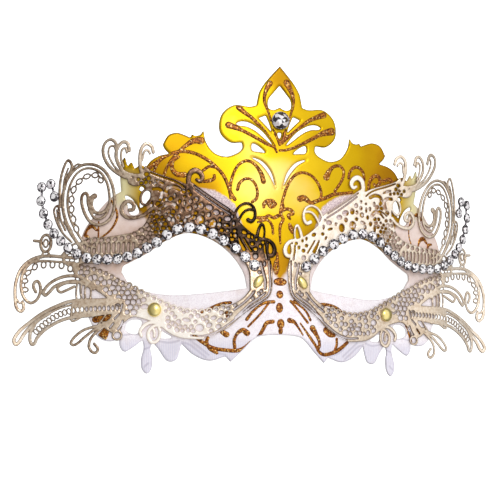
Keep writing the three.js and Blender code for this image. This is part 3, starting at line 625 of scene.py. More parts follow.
# glitter lines painted in relief on the shell
glitter = {
    "canvas": ((-79, -61), (79, 58), 0.3),
    # levels of the underside and the edge, and rise to the middle of a line over the width of its shoulder
    "sunk": -0.75,
    "foot": -0.56,
    "rise": 0.42,
    "shoulder": 0.7,
    # how much wider than drawn a line is, and the rim of the shell that stays bare
    "spread": 1.14,
    "bareRim": 0.45,
    # each line: its width, or its widths from end to end, then its places; the two sides were drawn by hand
    "left": {
        "crown": [(2.2, 1.5, 1.2, 1, 0.7), 4.2, 53.6, 5.6, 51, 6.4, 48, 6.3, 45.4, 5.2, 42.6, 4.2, 40,
            3.7, 38],
        "lobeHigh": [(2.2, 1.5, 1.3, 1.2, 1.6), 16.8, 43, 14.4, 41, 11.6, 39, 8.4, 36, 5.4, 32.6, 3.2, 29,
            2.4, 27.6],
        "lobeLow": [(2.6, 1.5, 1.4, 1.3, 0.9), 20.8, 35.7, 17.4, 34.5, 13.6, 32.8, 9, 30.4, 5.4, 28.4,
            2.4, 27.2, 1.2, 25.2],
        "underStone": [1.2, 3.2, 34.6, 1.2, 31.6, 0, 28.4],
        "loopOuter": [(2, 1.3, 1.2, 1.2, 1.4), 6.6, 13, 7.2, 15.4, 8.6, 18, 10.8, 20.4, 13.5, 21.2,
            16.2, 19.9, 18.2, 17, 19.6, 12.4, 19.8, 8.6, 18, 5.4],
        "loopInner": [(1.3, 1.1, 1.3), 17, 9.4, 16.2, 12, 14, 13.8, 11.6, 13.6, 9.8, 11.6, 9, 8.6, 9.4, 6,
            11, 4.6],
        "bulb": [(1.4, 1.8, 1.8, 1.2), 1.6, 4, 2.8, 5, 4.6, 5.1, 6.2, 4, 6.4, 2.6],
        "bulbInner": [1.6, 2.2, 3.4, 3.4, 2.8, 4.2, 3.6],
        "longArch": [(1.6, 1.4, 1.4, 1.4, 1.2), 52.4, 17.4, 49, 20, 45.6, 22.6, 40, 24.6, 34.6, 24.1,
            29.6, 21.7, 26, 18.9, 22.6, 15, 20.6, 10.4, 19.6, 6],
        "archBranch": [1.2, 30.6, 17, 28.4, 18.6, 26, 18.4],
        "innerCurl": [(1, 1.6, 1.2), 31.4, 12.4, 28.4, 12.8, 26.4, 13.6, 26.2, 15],
        "leafStem": [(2.8, 1.5, 1.2, 1.2), 31.6, 29.2, 34.6, 29, 37.8, 26.9, 40.4, 24.4, 43, 21.4,
            45.2, 17.4, 46, 14.6],
        "leafCurl": [(1.2, 1.6, 2.2), 40.4, 22.4, 42.6, 20.6, 42.8, 17.6, 40.8, 15.4, 38, 15.2],
        "leafOuter": [1.2, 46.2, 22.2, 48.6, 19.6, 50, 16.4],
        "centreLow": [(1.2, 1.6, 1.2, 1.6), 9.6, -1.8, 6, -1.8, 4.4, -0.8, 2.4, -1.6, 0.6, -0.8],
        "centreWave": [1.1, 8.6, -3.6, 5, -2.6, 3, -4.8, 2.6, -8],
        "wedge": [1.1, 1, -16, 0.8, -19.4, 0.7, -22.4, 1.5, -24.2, 2.2, -22.6, 1.9, -20, 1.1, -18.6],
        "cheekLine": [(1.4, 1, 1.3), 2.8, -35.6, 5.6, -35.8, 8.4, -37.2, 11, -39.6, 13.2, -42.6],
        "cheekLineLow": [0.9, 4.8, -36.2, 8, -40.4, 12.6, -45.4],
        "muzzle": [(1.6, 1.3, 1.5, 1.4, 1.3), 3.2, -43.4, 5.6, -44, 7, -46.6, 8.6, -49.3, 11.5, -51.6,
            14, -53.8, 17, -54.9, 21, -54.7, 25, -54.1, 28, -52.8, 30.8, -50.9, 33, -49],
        "muzzleLoop": [(1.3, 1.2, 2.2), 17.6, -53.6, 17.8, -50.6, 16.6, -48, 14.6, -46.8, 13, -48],
        "muzzleBlob": [(2.2, 1.8), 20.8, -48.6, 22.4, -47.6],
        "muzzleSpur": [1.3, 24.4, -55.8, 27, -54.2, 28.2, -51.6, 27.8, -50],
        "cheekDot": [(1.6, 2.2), 20, -39.6, 21.6, -41.2],
        "eyeLine": [(1.2, 1.2, 0.9), 19.4, -36, 22.6, -36.4, 26.6, -38, 31, -40.3],
        "templeStem": [(0.8, 1, 0.8), 66, 5.4, 64, 1.6, 63.6, -2, 65.8, -6.4, 69.6, -9.6],
        "templeTwig": [0.7, 70.6, -3, 70.6, -9.6],
        "templeScroll": [(0.9, 1.7, 1.5, 0.6), 71.4, -6.4, 73, -4.8, 75, -5.6, 75.8, -8, 74.4, -9.4,
            75.8, -10.6],
        "jawPatch": [(3.4, 3, 2.6), 66, -41.4, 68.6, -42, 70.8, -42.6],
        "jawPatchLow": [(2.4, 3.4), 66.4, -46.6, 67.8, -49.2],
    },
    "right": {
        "crown": [(2.6, 1.9, 1.4, 1, 0.7), 2.8, 54.2, 4.2, 51.6, 5.4, 48.6, 5.6, 45.8, 5.1, 43, 4.4, 40.6,
            3.9, 38.4],
        "lobeHigh": [(2.4, 1.6, 1.3, 1.2, 1.9), 18.8, 42, 15.4, 40.6, 12, 38.8, 8.6, 36, 5.2, 33.2, 2.6, 31,
            0.8, 29.4],
        "lobeLow": [(3, 1.6, 1.4, 1.2, 1), 22.2, 35.4, 18.4, 34.2, 14.4, 32, 10.6, 29.8, 6.4, 27.6,
            2.4, 26.2, 0, 26],
        "underStone": [1.8, 2.8, 34, 1.6, 32, 0.2, 30],
        "arch": [1.2, 0.4, 0.4, 0.8, 3, 1.6, 6.6, 2.8, 10.4, 4.6, 14, 6.8, 16.4, 9.8, 17.4, 13, 16.6,
            15.4, 14.6, 17.2, 11.6, 17.8, 8.6, 17, 6.8],
        "archTail": [(1.6, 1.5, 1.1), 13.4, 5, 16.6, 6.4, 20, 7.8, 23.4, 9.4, 27.2, 10, 31.6, 10.8],
        "archBulb": [(2.4, 2.2, 1.4), 8.6, 6.6, 10.4, 7, 13, 5.2],
        "loop": [(2.6, 1.4, 1.2, 1.2, 1.2), 20, 16.2, 21.4, 19, 23.6, 21, 26.2, 21.2, 27.8, 19.2, 27.2, 16,
            25.4, 13, 23.8, 10.8],
        "hook": [(1.2, 1.3, 1.2), 30, 16.6, 30.6, 19.2, 32.6, 21.3, 35, 21.2, 36.8, 19.2, 37.2, 16.4],
        "leafScroll": [(1.4, 1.6, 1.3), 39.4, 12.4, 39.6, 15.4, 41.2, 18, 43.4, 18.6, 44.6, 16.4,
            43.2, 14.4, 41.8, 15],
        "leafTail": [1.5, 46.2, 16.8, 48.8, 17.6, 50.6, 16.2],
        "centreKnot": [(1.3, 1.5, 1.1), 1, 1.2, 3, 2.2, 5, 1.6, 5.6, 0.4, 3.6, -0.4, 4.4, -1.8],
        "centreDrop": [(1.2, 2, 1.6), 4.2, -4, 4.8, -5.6, 5.4, -7],
        "centreLine": [(0.9, 1.2, 1.3, 0.8), 2.4, 8.4, 1.2, 5.2, 1.6, 3, 0.6, 0, 1.6, -2, 0.4, -4.6,
            0.2, -8, 0.4, -12],
        "cheekLine": [(1.2, 0.9, 1.1), 4.2, -35.2, 6, -37.2, 8.6, -40.2, 11.4, -43.4],
        "cheekLineOuter": [(1.2, 0.9, 1.1), 5.6, -35.2, 8.6, -37.2, 11, -39.4, 12.6, -42.4],
        "noseStroke": [(2, 1, 0.7), 3.6, -42.8, 5.6, -43.4, 7.4, -45.6, 9.4, -48.4],
        "muzzle": [(0.7, 1.2, 1.3, 1.6, 1.4), 8.2, -43.8, 10.6, -46.8, 13, -49.8, 15.2, -52.6, 16.8, -55,
            19, -56, 22, -55.4, 24.6, -54.4, 27.4, -52.6, 29.6, -50.8],
        "muzzleLoop": [(2.4, 1.6, 1.3, 1.3), 13.6, -45.6, 15, -47.6, 16.4, -50, 16.8, -52.4, 16, -54],
        "muzzleBlob": [(2.4, 2.2, 1.4), 19.6, -46.2, 21.4, -47.8, 23.4, -48.2],
        "muzzleSpur": [(1.2, 1.2), 24.6, -49.6, 24.6, -52, 23.6, -54.4],
        "cheekDot": [(1.8, 1.4), 16.2, -39, 18, -40.4],
        "eyeLine": [(1.4, 1.2, 1.2, 1), 16.4, -36.2, 19, -35.9, 22.6, -36.4, 26, -38, 28.4, -41.4],
        "templeStem": [0.7, 60.8, 2, 59.8, -2, 60, -5.4, 61.2, -8.4],
        "templeBulb": [(0.6, 1.8, 1.2), 62, 3.2, 64, 4.4, 66.2, 2.6],
        "templeScroll": [(0.8, 1.8, 1.2), 65, -8.6, 66, -6.2, 68, -5.4, 69.6, -7],
        "templeScrollLow": [(0.7, 1.5, 0.9), 70, -10, 70.8, -7.8, 72.4, -7.4],
        "jawLine": [(0.9, 1.1), 58.8, -43.2, 60.6, -47, 61.6, -50],
        "jawSpot": [(1.4, 1.8), 63.6, -44.6, 65.6, -45.6],
    },
    "spots": [(0, -27.5, 2.8, 1.7), (-0.3, -32.6, 1.5, 1.7), (-0.5, -37.9, 1.5, 2.1), (0, -44.2, 1.6, 2),
        (0, -47, 1, 1.6)],
}
glitterCanvas = Canvas(*glitter["canvas"])
for side, word in ((-1, "left"), (1, "right")):
    glitterCanvas.addLines(glitter[word], side, glitter["spread"])
for spot in glitter["spots"]:
    glitterCanvas.add(glitterCanvas.oval(*spot))
bare = Canvas(*glitter["canvas"])
drawShell(bare)
glitterCanvas.field = np.maximum(glitterCanvas.field, bare.field + glitter["bareRim"])
shape = CutShape(glitterCanvas)
# height of a line: its rise times 1 less the square of what is left of the shoulder at that depth
swell = 1 - np.maximum(1 - shape.depth / glitter["shoulder"], 0)**2
glitterPiece = sheetFrom("glitterLines", shape, glitter["sunk"], glitter["foot"] + glitter["rise"] * swell)
print("glitter lines", len(glitterPiece.data.polygons), "faces")

# cut metal
metal = {
    "canvas": ((0, -60), (106, 34), 0.3),
    "thickness": 0.7,
    "roundedEdge": 0.4,
    # open lace: scatter and row distance in pitches, sizes and margin of a zone in largest radii, metal left
    # between openings, and least radius
    "seed": 4,
    "looseness": 0.13,
    "rowPitch": 0.866,
    "sizes": (0.75, 1.15),
    "margin": 1.2,
    "web": 0.46,
    "smallest": 0.36,
    # outlines as smooth runs, each from the end of the run before it
    "plateEdge": [
        [5, -34, 3.4, -30, 3.2, -22, 4.2, -17.5, 5, -14],
        [5.6, -11, 8, -9.6, 10.4, -8.6, 13.4, -6.4, 16.4, -3.6],
        [18.6, 0.4, 24, 4.2, 30, 8.4, 34.6, 11.8, 36.4, 12.6],
        [37.4, 11.5, 40, 12.7, 43.6, 14, 47.4, 15.2, 51.6, 16.8, 53.4, 18.6],
        [55.5, 15.6, 59, 15.8, 62, 17],
        [60.6, 14.6, 59.6, 11.6, 57, 10.6, 54.4, 10.8, 52.4, 9.2],
        [50.6, 6, 50.2, 3, 51.2, -1, 53.6, -5.4, 57, -7.6, 62, -8.6, 68, -9.4, 74, -9.6],
        [77, -11, 80, -11.4, 82.6, -13, 85, -16],
        [84, -19.4, 80.6, -22.4, 79.4, -25.6, 79, -30, 79.6, -35],
        [80, -42.6],
        [76, -41.6, 72, -41.8, 68.8, -43.4, 67.6, -46, 64.4, -48, 61.4, -47.2, 60, -44],
        [56.6, -41.7, 52.6, -42.3, 49, -43.6, 46, -45.2],
        [42.5, -48, 38.8, -49.8, 34.5, -50.4, 30, -50.6],
        [25.4, -49.2, 20, -45.6, 15, -41, 9, -36.5],
    ],
    "plateEye": [
        [15.4, -34.6, 21, -37.6, 27, -39.2, 33, -39.8, 40, -38.4, 46, -35.6, 53, -31.8, 60, -27.6],
        [66.4, -23.8, 72.6, -21.9, 78, -21.2],
        [77, -20, 70, -20.2, 62, -19.6, 56, -18, 50.7, -15, 43.2, -10.2, 35.4, -7.7, 27, -10, 18.4, -15.5,
            12.9, -22.4, 12.2, -31],
    ],
    # each line of metal: its width, or its widths from end to end, then its places
    "lines": {
        "bridgeCurl": [(1.1, 1, 1, 1.2, 1.6), 18.4, -2.6, 17.6, 0.6, 15.8, 3, 13.2, 3.9, 11, 2.8, 10, 0.4,
            10.2, -2, 11.4, -3.4, 12.8, -2.8],
        "bridgeCurlInner": [1, 10.4, 1.2, 12.6, 1.4, 14.6, 0.2, 16.2, -2.4, 17.2, -5],
        "smallCurl": [(1.4, 1.2, 0.9), 9.2, -9.4, 8.5, -6.6, 7.4, -4.4, 6.5, -5],
        "smallCurlInner": [0.8, 6.5, -5, 6.1, -7.4, 6.4, -10],
        "lowCurl": [(1.3, 1.5, 1.8, 1.6), 6.6, -10.4, 4.4, -11, 2.7, -12.6, 2.1, -15, 2.9, -16.8, 4.4, -17],
        "lowCurlInner": [0.9, 4.8, -12.4, 5, -15, 4.6, -17.4],
        "browCurl": [(2, 1.9, 2.1, 1.9, 1.2), 35.4, 9.6, 36.4, 12.6, 35.9, 15.6, 34, 17, 31.9, 16, 31, 14,
            31.9, 12.6, 33.2, 13.2],
        "templeCurl": [(1.3, 1.6, 1.5), 50.6, 1.6, 53, -0.6, 56, -1.8, 59.4, -1.8, 61.6, 0, 61.9, 2.4,
            60.6, 4.4, 58.8, 4.6, 57.3, 3.2, 57.5, 1.4, 58.9, 1.2],
        "templeArc": [0.8, 51.6, 8.8, 53.2, 7.2, 53.5, 5, 52.4, 3.2],
        "browHook": [(1.5, 1.4, 1.3), 54.2, 14, 55.4, 18, 55.8, 22, 55.2, 25.4, 53.4, 27.1, 51.3, 26,
            50.6, 23.8],
        "browHookInner": [0.9, 54.9, 20.5, 54.1, 24, 52.7, 24.4, 51.9, 23.2],
        "shortHook": [1.4, 60.6, 14.4, 62.6, 17.3, 64.2, 20, 65, 23, 64.4, 26, 62.5, 27.9, 60.7, 27.1,
            60, 24.4],
        "shortHookInner": [0.9, 62, 18.4, 63, 21.4, 62.9, 24.6, 61.6, 25.4, 60.9, 23.6],
        "swirl": [(1.4, 1.2, 1.2, 1.3), 73, -17, 77.6, -13, 81.6, -6.5, 84.2, 0, 85, 6, 84.2, 13,
            81.2, 18.2, 77.4, 20.4, 73, 19.9, 69.2, 17.3, 66.4, 12.8, 65, 7.4, 64.9, 2.2, 66.4, -2,
            69.8, -4.3, 73.6, -3.3, 76.2, 0.6, 77.5, 5, 77.4, 7.8, 76.2, 8.9, 75.2, 7.6, 74.9, 4.4,
            73.4, 0.4],
        "swirlInner": [1, 71.6, -13.6, 75.6, -12, 79.6, -6, 82.2, 0, 83.1, 6, 82.4, 12, 80, 16.8,
            76.6, 18.8, 73, 18.2, 70, 16, 67.8, 12, 66.8, 7, 66.8, 3, 68, -0.2, 70.4, -1.9, 72.6, -1.3,
            74.6, 2.2],
        "swirlHook": [(1.2, 1.4, 2.3), 66.8, 4, 68.2, 1.4, 70.4, 0.3, 72.6, 1.2, 73.9, 3.8, 73.6, 6.6,
            72.6, 7.4],
        "feather": [1.1, 86, 4, 86.3, 10, 86.1, 15, 85, 20, 83.5, 22.9, 82, 21.4, 82, 19, 83.4, 16,
            84.4, 11],
        "featherRib": [0.75, 84.9, 12, 84.4, 16, 83.2, 19.6],
        "featherInner": [0.8, 83.6, 14, 82.4, 18, 80, 20.8, 78.4, 20.6],
        "outsideLeaf": [0.85, 81, -11, 84.4, -7.4, 86.6, -3.6, 88, 0.4, 88.3, 3, 87, 4.4, 86.3, 2.6,
            85.6, -1.4, 83.6, -6],
        "outsideLeafRib": [0.7, 84.6, -7, 86.2, -3, 87.2, 2.6],
        "leafStem": [0.9, 86.3, 3.6, 86.2, 6, 86.4, 8],
        "smallHairpin": [0.7, 79, -11.4, 81.4, -8, 83.3, -4.2, 84.2, -2.4, 83.2, -2.8, 81, -6.4],
        "beadStud": [1.2, 93, -10.1, 96, -9.7],
        "beadFoot": [0.8, 90.2, -14.6, 89.2, -16.8],
        "beadFootOuter": [0.8, 92.2, -14.8, 93, -17],
        "upperWhisker": [1.4, 79, -17.6, 84, -17, 90, -16.3, 95, -16.8, 99, -19.2, 101.6, -23, 102.9, -28,
            102.9, -33, 102.3, -37.2, 100.5, -39, 99.3, -37.8, 99.5, -35.8],
        "upperWhiskerLow": [1, 80, -19.4, 86, -18.9, 92, -18.3, 96, -18.6],
        "upperWhiskerInner": [1.25, 94, -17.6, 97.6, -19.4, 99.8, -22.6, 100.7, -26.4, 100.4, -30.6,
            98.8, -34, 96.4, -35.5, 94, -34, 92.8, -31, 93, -28.2, 94.1, -26.5, 95.4, -27.2, 95.6, -29,
            94.6, -31],
        "whiskerNotch": [0.8, 102.7, -33.2, 101, -35.6, 99.7, -34.7],
        "middleWhisker": [1.35, 66, -33.6, 69, -31, 72, -28.6, 75, -26.4, 78, -25.1, 82, -24.8, 86, -25.8,
            89.5, -28, 91.6, -31, 90.8, -32.5, 89.2, -31.2, 87.2, -29, 84, -27.6, 80, -27, 76, -28,
            72, -30.2],
        "middleWhiskerLobe": [1.1, 79, -27.6, 83, -27.8, 86, -29.6, 84.9, -31.4, 82.6, -30.7, 79.5, -29.2],
        "ladderTop": [1.5, 62, -34.6, 70, -34.8, 80, -35.1, 86, -37, 92, -40, 97, -43.8, 100.6, -47,
            102.8, -50.6, 102, -52.6, 100.5, -51.4, 99, -48.6, 96.6, -45.6, 93, -42.4, 89, -39.9],
        "ladderLow": [1.4, 62, -39.6, 66, -40, 73, -41, 79.9, -41.7, 84, -42.8, 87.6, -44.6, 91, -47,
            93.6, -50, 94.4, -52, 95.6, -52.5, 96.4, -50.4, 96.2, -47.4, 94.8, -44.8],
        "ladderMiddle": [0.9, 66, -36.2, 74, -36.2, 80, -36.6, 85.6, -38.2, 91, -41.2, 95.2, -44.8],
        "tab": [0.9, 79.8, -35, 80.2, -42.9, 76, -41.4],
        "hairpin": [1.15, 66.6, -44, 70, -45.2, 75, -46.7, 78.4, -49.2, 80.2, -51.8, 79.3, -52.9,
            77.6, -52.2, 75, -49.8, 71.6, -47, 69, -45.6],
        "hairpinLow": [1.15, 67.6, -45.4, 70.4, -47.6, 72.6, -50.4, 73.2, -53.4, 72.2, -55.4, 70.6, -56,
            69.7, -54.4, 71.2, -52.4],
        "rivetCurlOuter": [(1.2, 1.5, 1.2), 46.6, -44, 49.8, -43.9, 52.2, -45.2, 53.5, -47.4, 53, -49.2],
        "rivetCurl": [(1.1, 1.3, 1.5, 1.3, 1.1), 44.4, -45.4, 47, -45, 49, -45.7, 50.3, -47.6, 50.2, -50,
            48.9, -51.7, 47.2, -51.3, 46.1, -49.6, 45.9, -47.4, 46.5, -45.8],
        "rivetCurlInner": [1, 48.6, -46.2, 48, -48, 48.1, -49.4],
        "jawHairpin": [0.8, 63.6, -46.4, 62.2, -43.4, 60.8, -41],
    },
    # lines drawn back over the openings: bars between the whiskers, ribs of the jaw and links of the rings
    "bars": {
        "barOne": [0.75, 78.3, -27.6, 78.7, -31.4, 78.4, -35],
        "barTwo": [0.75, 76.6, -27.8, 76.9, -31.4, 76.4, -35],
        "barThree": [0.75, 74.9, -28.4, 75.3, -31.4, 74.9, -35],
        "barFour": [0.75, 73.2, -29.2, 72.9, -32, 73.3, -35],
        "jawRib": [0.7, 66.4, -39.6, 67.8, -42, 69.8, -44.6],
        "swirlLinks": [0.55, 78.4, -7.6, 79.3, -4.2, 80, -3.4, 80.8, 0, 81.4, 1.2, 81.5, 4.2, 81.6, 5.2,
            81.3, 8.2, 80.9, 9.3, 79.8, 12.6, 78.4, 14.4, 76.4, 15.6, 74.6, 16, 71.8, 15.8, 70.4, 14.6],
        "whiskerLinks": [0.55, 96.6, -21.6, 98.4, -24.4, 99.2, -27.8, 98.8, -31.2],
    },
    # rings: x, y, half width, half height, width of the metal, turn in degrees
    "rings": [(91.2, -11, 2.1, 3.5, 1.2, 0), (62.4, -49, 1.7, 1.7, 0.9, 0), (91.2, -11, 0.9, 1.6, 0.7, 0),
        (52.6, 6.2, 2.1, 3.1, 1, 12), (79.3, -5.6, 0.9, 1.5, 0.6, -20), (80.6, -1.6, 0.95, 1.5, 0.6, -12),
        (81.4, 2.6, 0.95, 1.4, 0.6, 0), (81.5, 6.6, 0.95, 1.4, 0.6, 0), (80.8, 10.6, 0.95, 1.4, 0.6, 18),
        (78.7, 13.8, 0.95, 1.3, 0.6, 50), (75.8, 15.6, 0.95, 1.3, 0.6, 75), (72.6, 15.8, 1, 1.2, 0.6, 100),
        (70.4, 13.6, 0.9, 1.1, 0.6, 140), (84.7, -20.4, 0.95, 1.3, 0.6, 0), (88.3, -20, 0.95, 1.3, 0.6, 0),
        (91.8, -19.9, 0.95, 1.3, 0.6, 0), (95.3, -20.6, 0.95, 1.3, 0.6, 20), (98, -23, 0.9, 1.3, 0.6, 50),
        (99.1, -26.4, 0.9, 1.2, 0.6, 80), (98.9, -30, 0.9, 1.2, 0.6, 95), (81.2, -21.8, 1, 1.3, 0.6, 0)],
    # openings in the plate: x, y, half width, half height, turn
    "holes": [(33.2, 5.3, 0.75, 0.95), (35.4, 4.4, 0.65, 0.85), (37.9, 3.8, 0.4, 1.1),
        (39.7, 4.4, 0.5, 0.85), (33.5, 2.5, 0.55, 0.8), (31.4, 2.7, 0.95, 1.2), (35.9, 1.6, 0.95, 1),
        (38.6, 0.8, 0.55, 0.85), (33.4, -0.3, 0.7, 0.7), (28.3, 1.8, 1.4, 1.1, 15), (28.5, -1, 0.75, 0.9),
        (25.5, -0.1, 1.2, 0.9, 10), (24, -3, 0.5, 0.7), (26.6, -4.4, 1.2, 1.7), (31.6, -3, 1.4, 1.7),
        (36.4, -1.6, 1.2, 0.6, -20), (37.4, -3.4, 0.6, 0.9), (42, -3.6, 0.6, 1.4), (44.9, -0.9, 0.5, 0.5),
        (40, -1.8, 0.7, 0.9), (36.1, 11.2, 0.5, 0.9), (35.5, 7.1, 0.5, 0.6), (37.8, 6.4, 0.5, 0.4),
        (41.7, 6.6, 0.45, 1), (6.8, -11.8, 0.6, 0.6), (7.9, -13.4, 0.5, 0.75), (9.4, -10.6, 0.45, 0.6),
        (11.1, -9.7, 0.4, 0.75), (9.8, -14.6, 0.75, 0.75), (11.1, -12.5, 0.65, 0.65),
        (14.3, -7.9, 0.95, 0.7, 30), (18.1, -7.4, 0.65, 0.65), (18.5, -4.6, 0.4, 0.95),
        (19, -1.7, 0.65, 0.45, 20), (21.4, -5.2, 1.1, 0.45, 15), (20.9, -2.6, 1.2, 0.9),
        (19.5, -9, 0.4, 0.75, -20), (9.9, -17.5, 0.85, 0.9), (6.3, -20.4, 0.4, 0.9), (58.6, 13.8, 0.6, 0.6),
        (56, 13.2, 0.65, 0.65), (54.2, 9.8, 1.2, 1.2), (52.4, -34.7, 0.9, 0.9)],
    # curved openings, written as the lines are
    "slots": {
        "browRailHigh": [0.4, 20.4, 1.1, 24.4, 3.7, 30.2, 7.7, 34.2, 10.6],
        "browRailLow": [0.5, 20, -0.7, 24.2, 2, 29.6, 5.9, 33.6, 9],
        "longSlot": [0.5, 11.6, -15.4, 13.2, -12.8, 14.6, -10.4],
        "longWedge": [(1.3, 0.5), 14.4, -14.8, 15.8, -12, 16.5, -10.2],
        "bridgeSlit": [0.55, 6.2, -12.8, 6.1, -15, 5.5, -18.4],
        "archHigh": [1.3, 39.8, 9.2, 42, 10.2, 44.4, 9.8, 45.1, 8, 44.6, 6.8],
        "archLow": [(1.4, 1.2, 0.5), 40.8, 1.9, 42.2, 3.4, 44.4, 3.1, 46.4, 1.2],
        "archTail": [0.5, 44.2, 4.1, 46.4, 3.2, 47.8, 2.2],
        "scroll": [1.2, 50, 9.4, 47.6, 9.3, 46.5, 7.6, 47.2, 5.2],
        "flame": [(0.5, 1, 0.5), 46, 11.5, 47.6, 12.3, 49.4, 12.8],
        "topRail": [0.5, 37.8, 9.6, 39.8, 11.3, 43, 12.8, 47, 14.1, 51.4, 15.8],
        "noseRail": [0.55, 4.5, -19, 4.3, -24, 4.2, -29, 5, -32.6, 7.4, -34.8, 10.6, -36.8, 13.6, -39],
        "noseStrand": [0.7, 7.8, -20, 7, -23.6, 6.2, -27, 6.3, -30.4],
        "noseStrandLow": [0.65, 6.4, -32.2, 8.8, -34.2, 12, -36.4, 15.4, -39.6, 17.8, -42],
        "noseStrandHigh": [0.6, 10.6, -31.6, 12.4, -34, 15, -36.4, 18.4, -39],
        "lowerSlot": [0.6, 51.2, -37.6, 52.6, -38, 53.9, -37.2],
        "jawSlot": [0.7, 60.4, -43.2, 61, -45, 62.2, -46.6],
        "jawSlotInner": [0.6, 64, -44.2, 65.4, -46],
        "jawSlotHigh": [0.5, 60.6, -36.4, 61.6, -40, 63.6, -42.4],
        "lowRailOuter": [0.5, 16.8, -43.2, 20.4, -46.2, 25, -48.6, 29, -50],
        "lowRail": [0.55, 12.6, -38.4, 16.6, -41.6, 20.8, -45, 25.4, -47.9, 30, -49.2, 34.4, -49],
    },
    # zones cut to open lace: pitch of the openings, largest radius, then the outline
    "lace": [
        (1.9, 0.85, 41, 6, 46, 6, 50, 4, 51, -2, 54, -6, 57, -10, 51, -14.6, 43, -10, 41, -6),
        (1.7, 0.7, 3.4, -20, 9, -24, 6.6, -29, 10, -32, 14, -34.4, 21, -38, 22, -44.6, 15, -40, 9, -36,
            4, -32),
        (2.1, 0.85, 19.6, -37.4, 26, -39.4, 33, -40, 44, -36.6, 44.4, -44, 41, -47, 37, -49, 29, -48.8,
            23, -46),
        (2.3, 1.1, 57, -30.6, 62, -28, 68, -24, 74, -22, 79, -21.6, 79, -26, 74, -26.6, 70, -28.4,
            66.4, -32.8, 62, -34.4, 62.6, -40.6, 59, -41.6, 54.6, -41.2, 53, -35, 53, -32),
        (2.2, 1.05, 76, -12.4, 80, -12.4, 84.4, -16, 83.4, -19.4, 78.6, -20.4, 75, -18),
        (2, 0.8, 52, 10, 60, 11.4, 61.6, 16, 55, 18.4, 51.6, 15.6, 46, 13, 46, 11.6),
        (2, 0.9, 52, -8.6, 60, -10.4, 60, -16.6, 53, -16),
    ],
    # openings, lines and lace that only one of the two sheets shows
    "own": {
        "left": {
            "holes": [(31.2, -46, 1.5, 1.4), (26, -42.1, 1.1, 0.7, -20), (28.6, -41.6, 0.7, 0.6),
                (36.2, -42.9, 1.5, 0.7, 10), (41.6, -40.2, 0.8, 0.7), (51.7, -37.4, 1.4, 0.9, 20),
                (27.6, -45, 1.1, 0.8, -30), (23.6, -43, 1.2, 0.7, -35), (37.2, -39.9, 0.6, 0.5),
                (44, -39.3, 0.5, 0.6)],
            "lines": {
                "longHook": [1.2, 58.6, 13.6, 62, 14.6, 66, 17.4, 68.8, 21, 70, 25, 69.4, 28, 67.5, 29.4,
                    65.6, 28.2, 64.6, 25.6],
                "longHookInner": [0.8, 62.6, 15.6, 65.8, 19.2, 67.8, 23.4, 67.5, 26.3, 65.8, 26.4,
                    64.9, 23.4, 64.7, 21.4],
            },
            "lace": [
                (2, 0.75, 12, -16, 12, -8, 20, -1, 34, 8, 41, 9, 41, -8, 35, -7, 27, -9, 20, -14),
            ],
        },
        "right": {
            "holes": [(34.4, -45.2, 1.4, 0.7), (38.7, -44, 1, 0.9), (42.3, -42.3, 1.3, 1.1),
                (42.4, -45.6, 1.2, 0.8, 35), (50.6, -38, 1.2, 0.7, 10), (28.4, -47, 1.3, 1.1),
                (24, -44.2, 1.1, 0.7, -35), (26.6, -41.2, 0.9, 0.7), (31.2, -42.2, 1, 0.7, 20),
                (35, -41, 0.8, 0.6)],
            "lines": {
                "longHook": [1.5, 58.6, 13.6, 63, 15.2, 67.4, 18.4, 70.8, 22.6, 72.6, 26.6, 72.2, 29.6,
                    70, 30.4, 68.2, 28.8, 67.4, 26],
                "longHookInner": [1, 62.6, 15.8, 66.4, 19.6, 69, 24, 69.6, 27.4, 68.4, 28.6],
            },
            "lace": [],
        },
    },
    # larger openings with smooth closed outlines
    "openings": {
        "triangle": [66.8, -34, 70.4, -31.2, 72.4, -30.2, 72.5, -34, 70, -34.2],
        "bars": [73, -29.4, 76, -28.2, 78.9, -27.6, 79.2, -34.4, 73, -34.4],
        "jaw": [65, -40.6, 71.4, -41.4, 70, -43, 66.6, -43.2],
    },
    # painted light and shade on the plating, lighter (to 1) or darker (to 0) round a place: x, y, reach, tone
    "tones": {
        "left": [(16, -6, 10, 0), (5, -13, 7, 0), (24, -6, 4, 0.05), (40, 2, 10, 0.2), (30, 4, 8, 0.2),
            (30, 8, 3, 0.5), (52, -4, 9, 0.32), (62, -12, 10, 0.52), (75, -15, 9, 0.52), (62, 22, 10, 0.6),
            (75, 10, 12, 0.43), (74, -28, 9, 0.52), (62, -33, 7, 0.52), (58, -34, 4, 0.5), (43, -41, 9, 1),
            (50, -38, 5, 1), (34, -44, 8, 1), (22, -43, 7, 0.8), (12, -36, 6, 0.5), (17, -37, 5, 0.6),
            (7, -27, 6, 0.4), (13, -22, 4, 0.5), (55, 13, 5, 0.36), (98, -28, 12, 0.42),
            (90, -44, 12, 0.68), (76, -50, 8, 0.38), (72, -38, 8, 0.65), (86, -20, 8, 0.5)],
        "right": [(14, -8, 14, 0.86), (28, 2, 11, 0.86), (46, 4, 9, 0.84), (54, 10, 9, 0.8),
            (62, 22, 10, 0.72), (76, 8, 12, 0.62), (58, -12, 10, 0.74), (74, -15, 9, 0.7), (7, -27, 6, 0.5),
            (14, -38, 7, 0.55), (26, -46, 9, 0.66), (40, -44, 10, 0.66), (56, -38, 9, 0.66),
            (70, -28, 10, 0.7), (64, -42, 7, 0.6), (84, -40, 12, 0.74), (98, -28, 12, 0.78),
            (90, -18, 9, 0.78), (48, -49, 5, 0.72)],
    },
    # rounds of metal left whole under the rivets: x, y, radius
    "solid": [(47.8, -38.8, 3.1), (8.8, -27.8, 2)],
    "outerLace": [58.4, -29.4, 60.6, -28, 62.8, -26.8, 65, -25.4, 67.2, -24.2, 69.6, -23.2, 72, -22.4,
        74.4, -21.8, 76.8, -21.4],
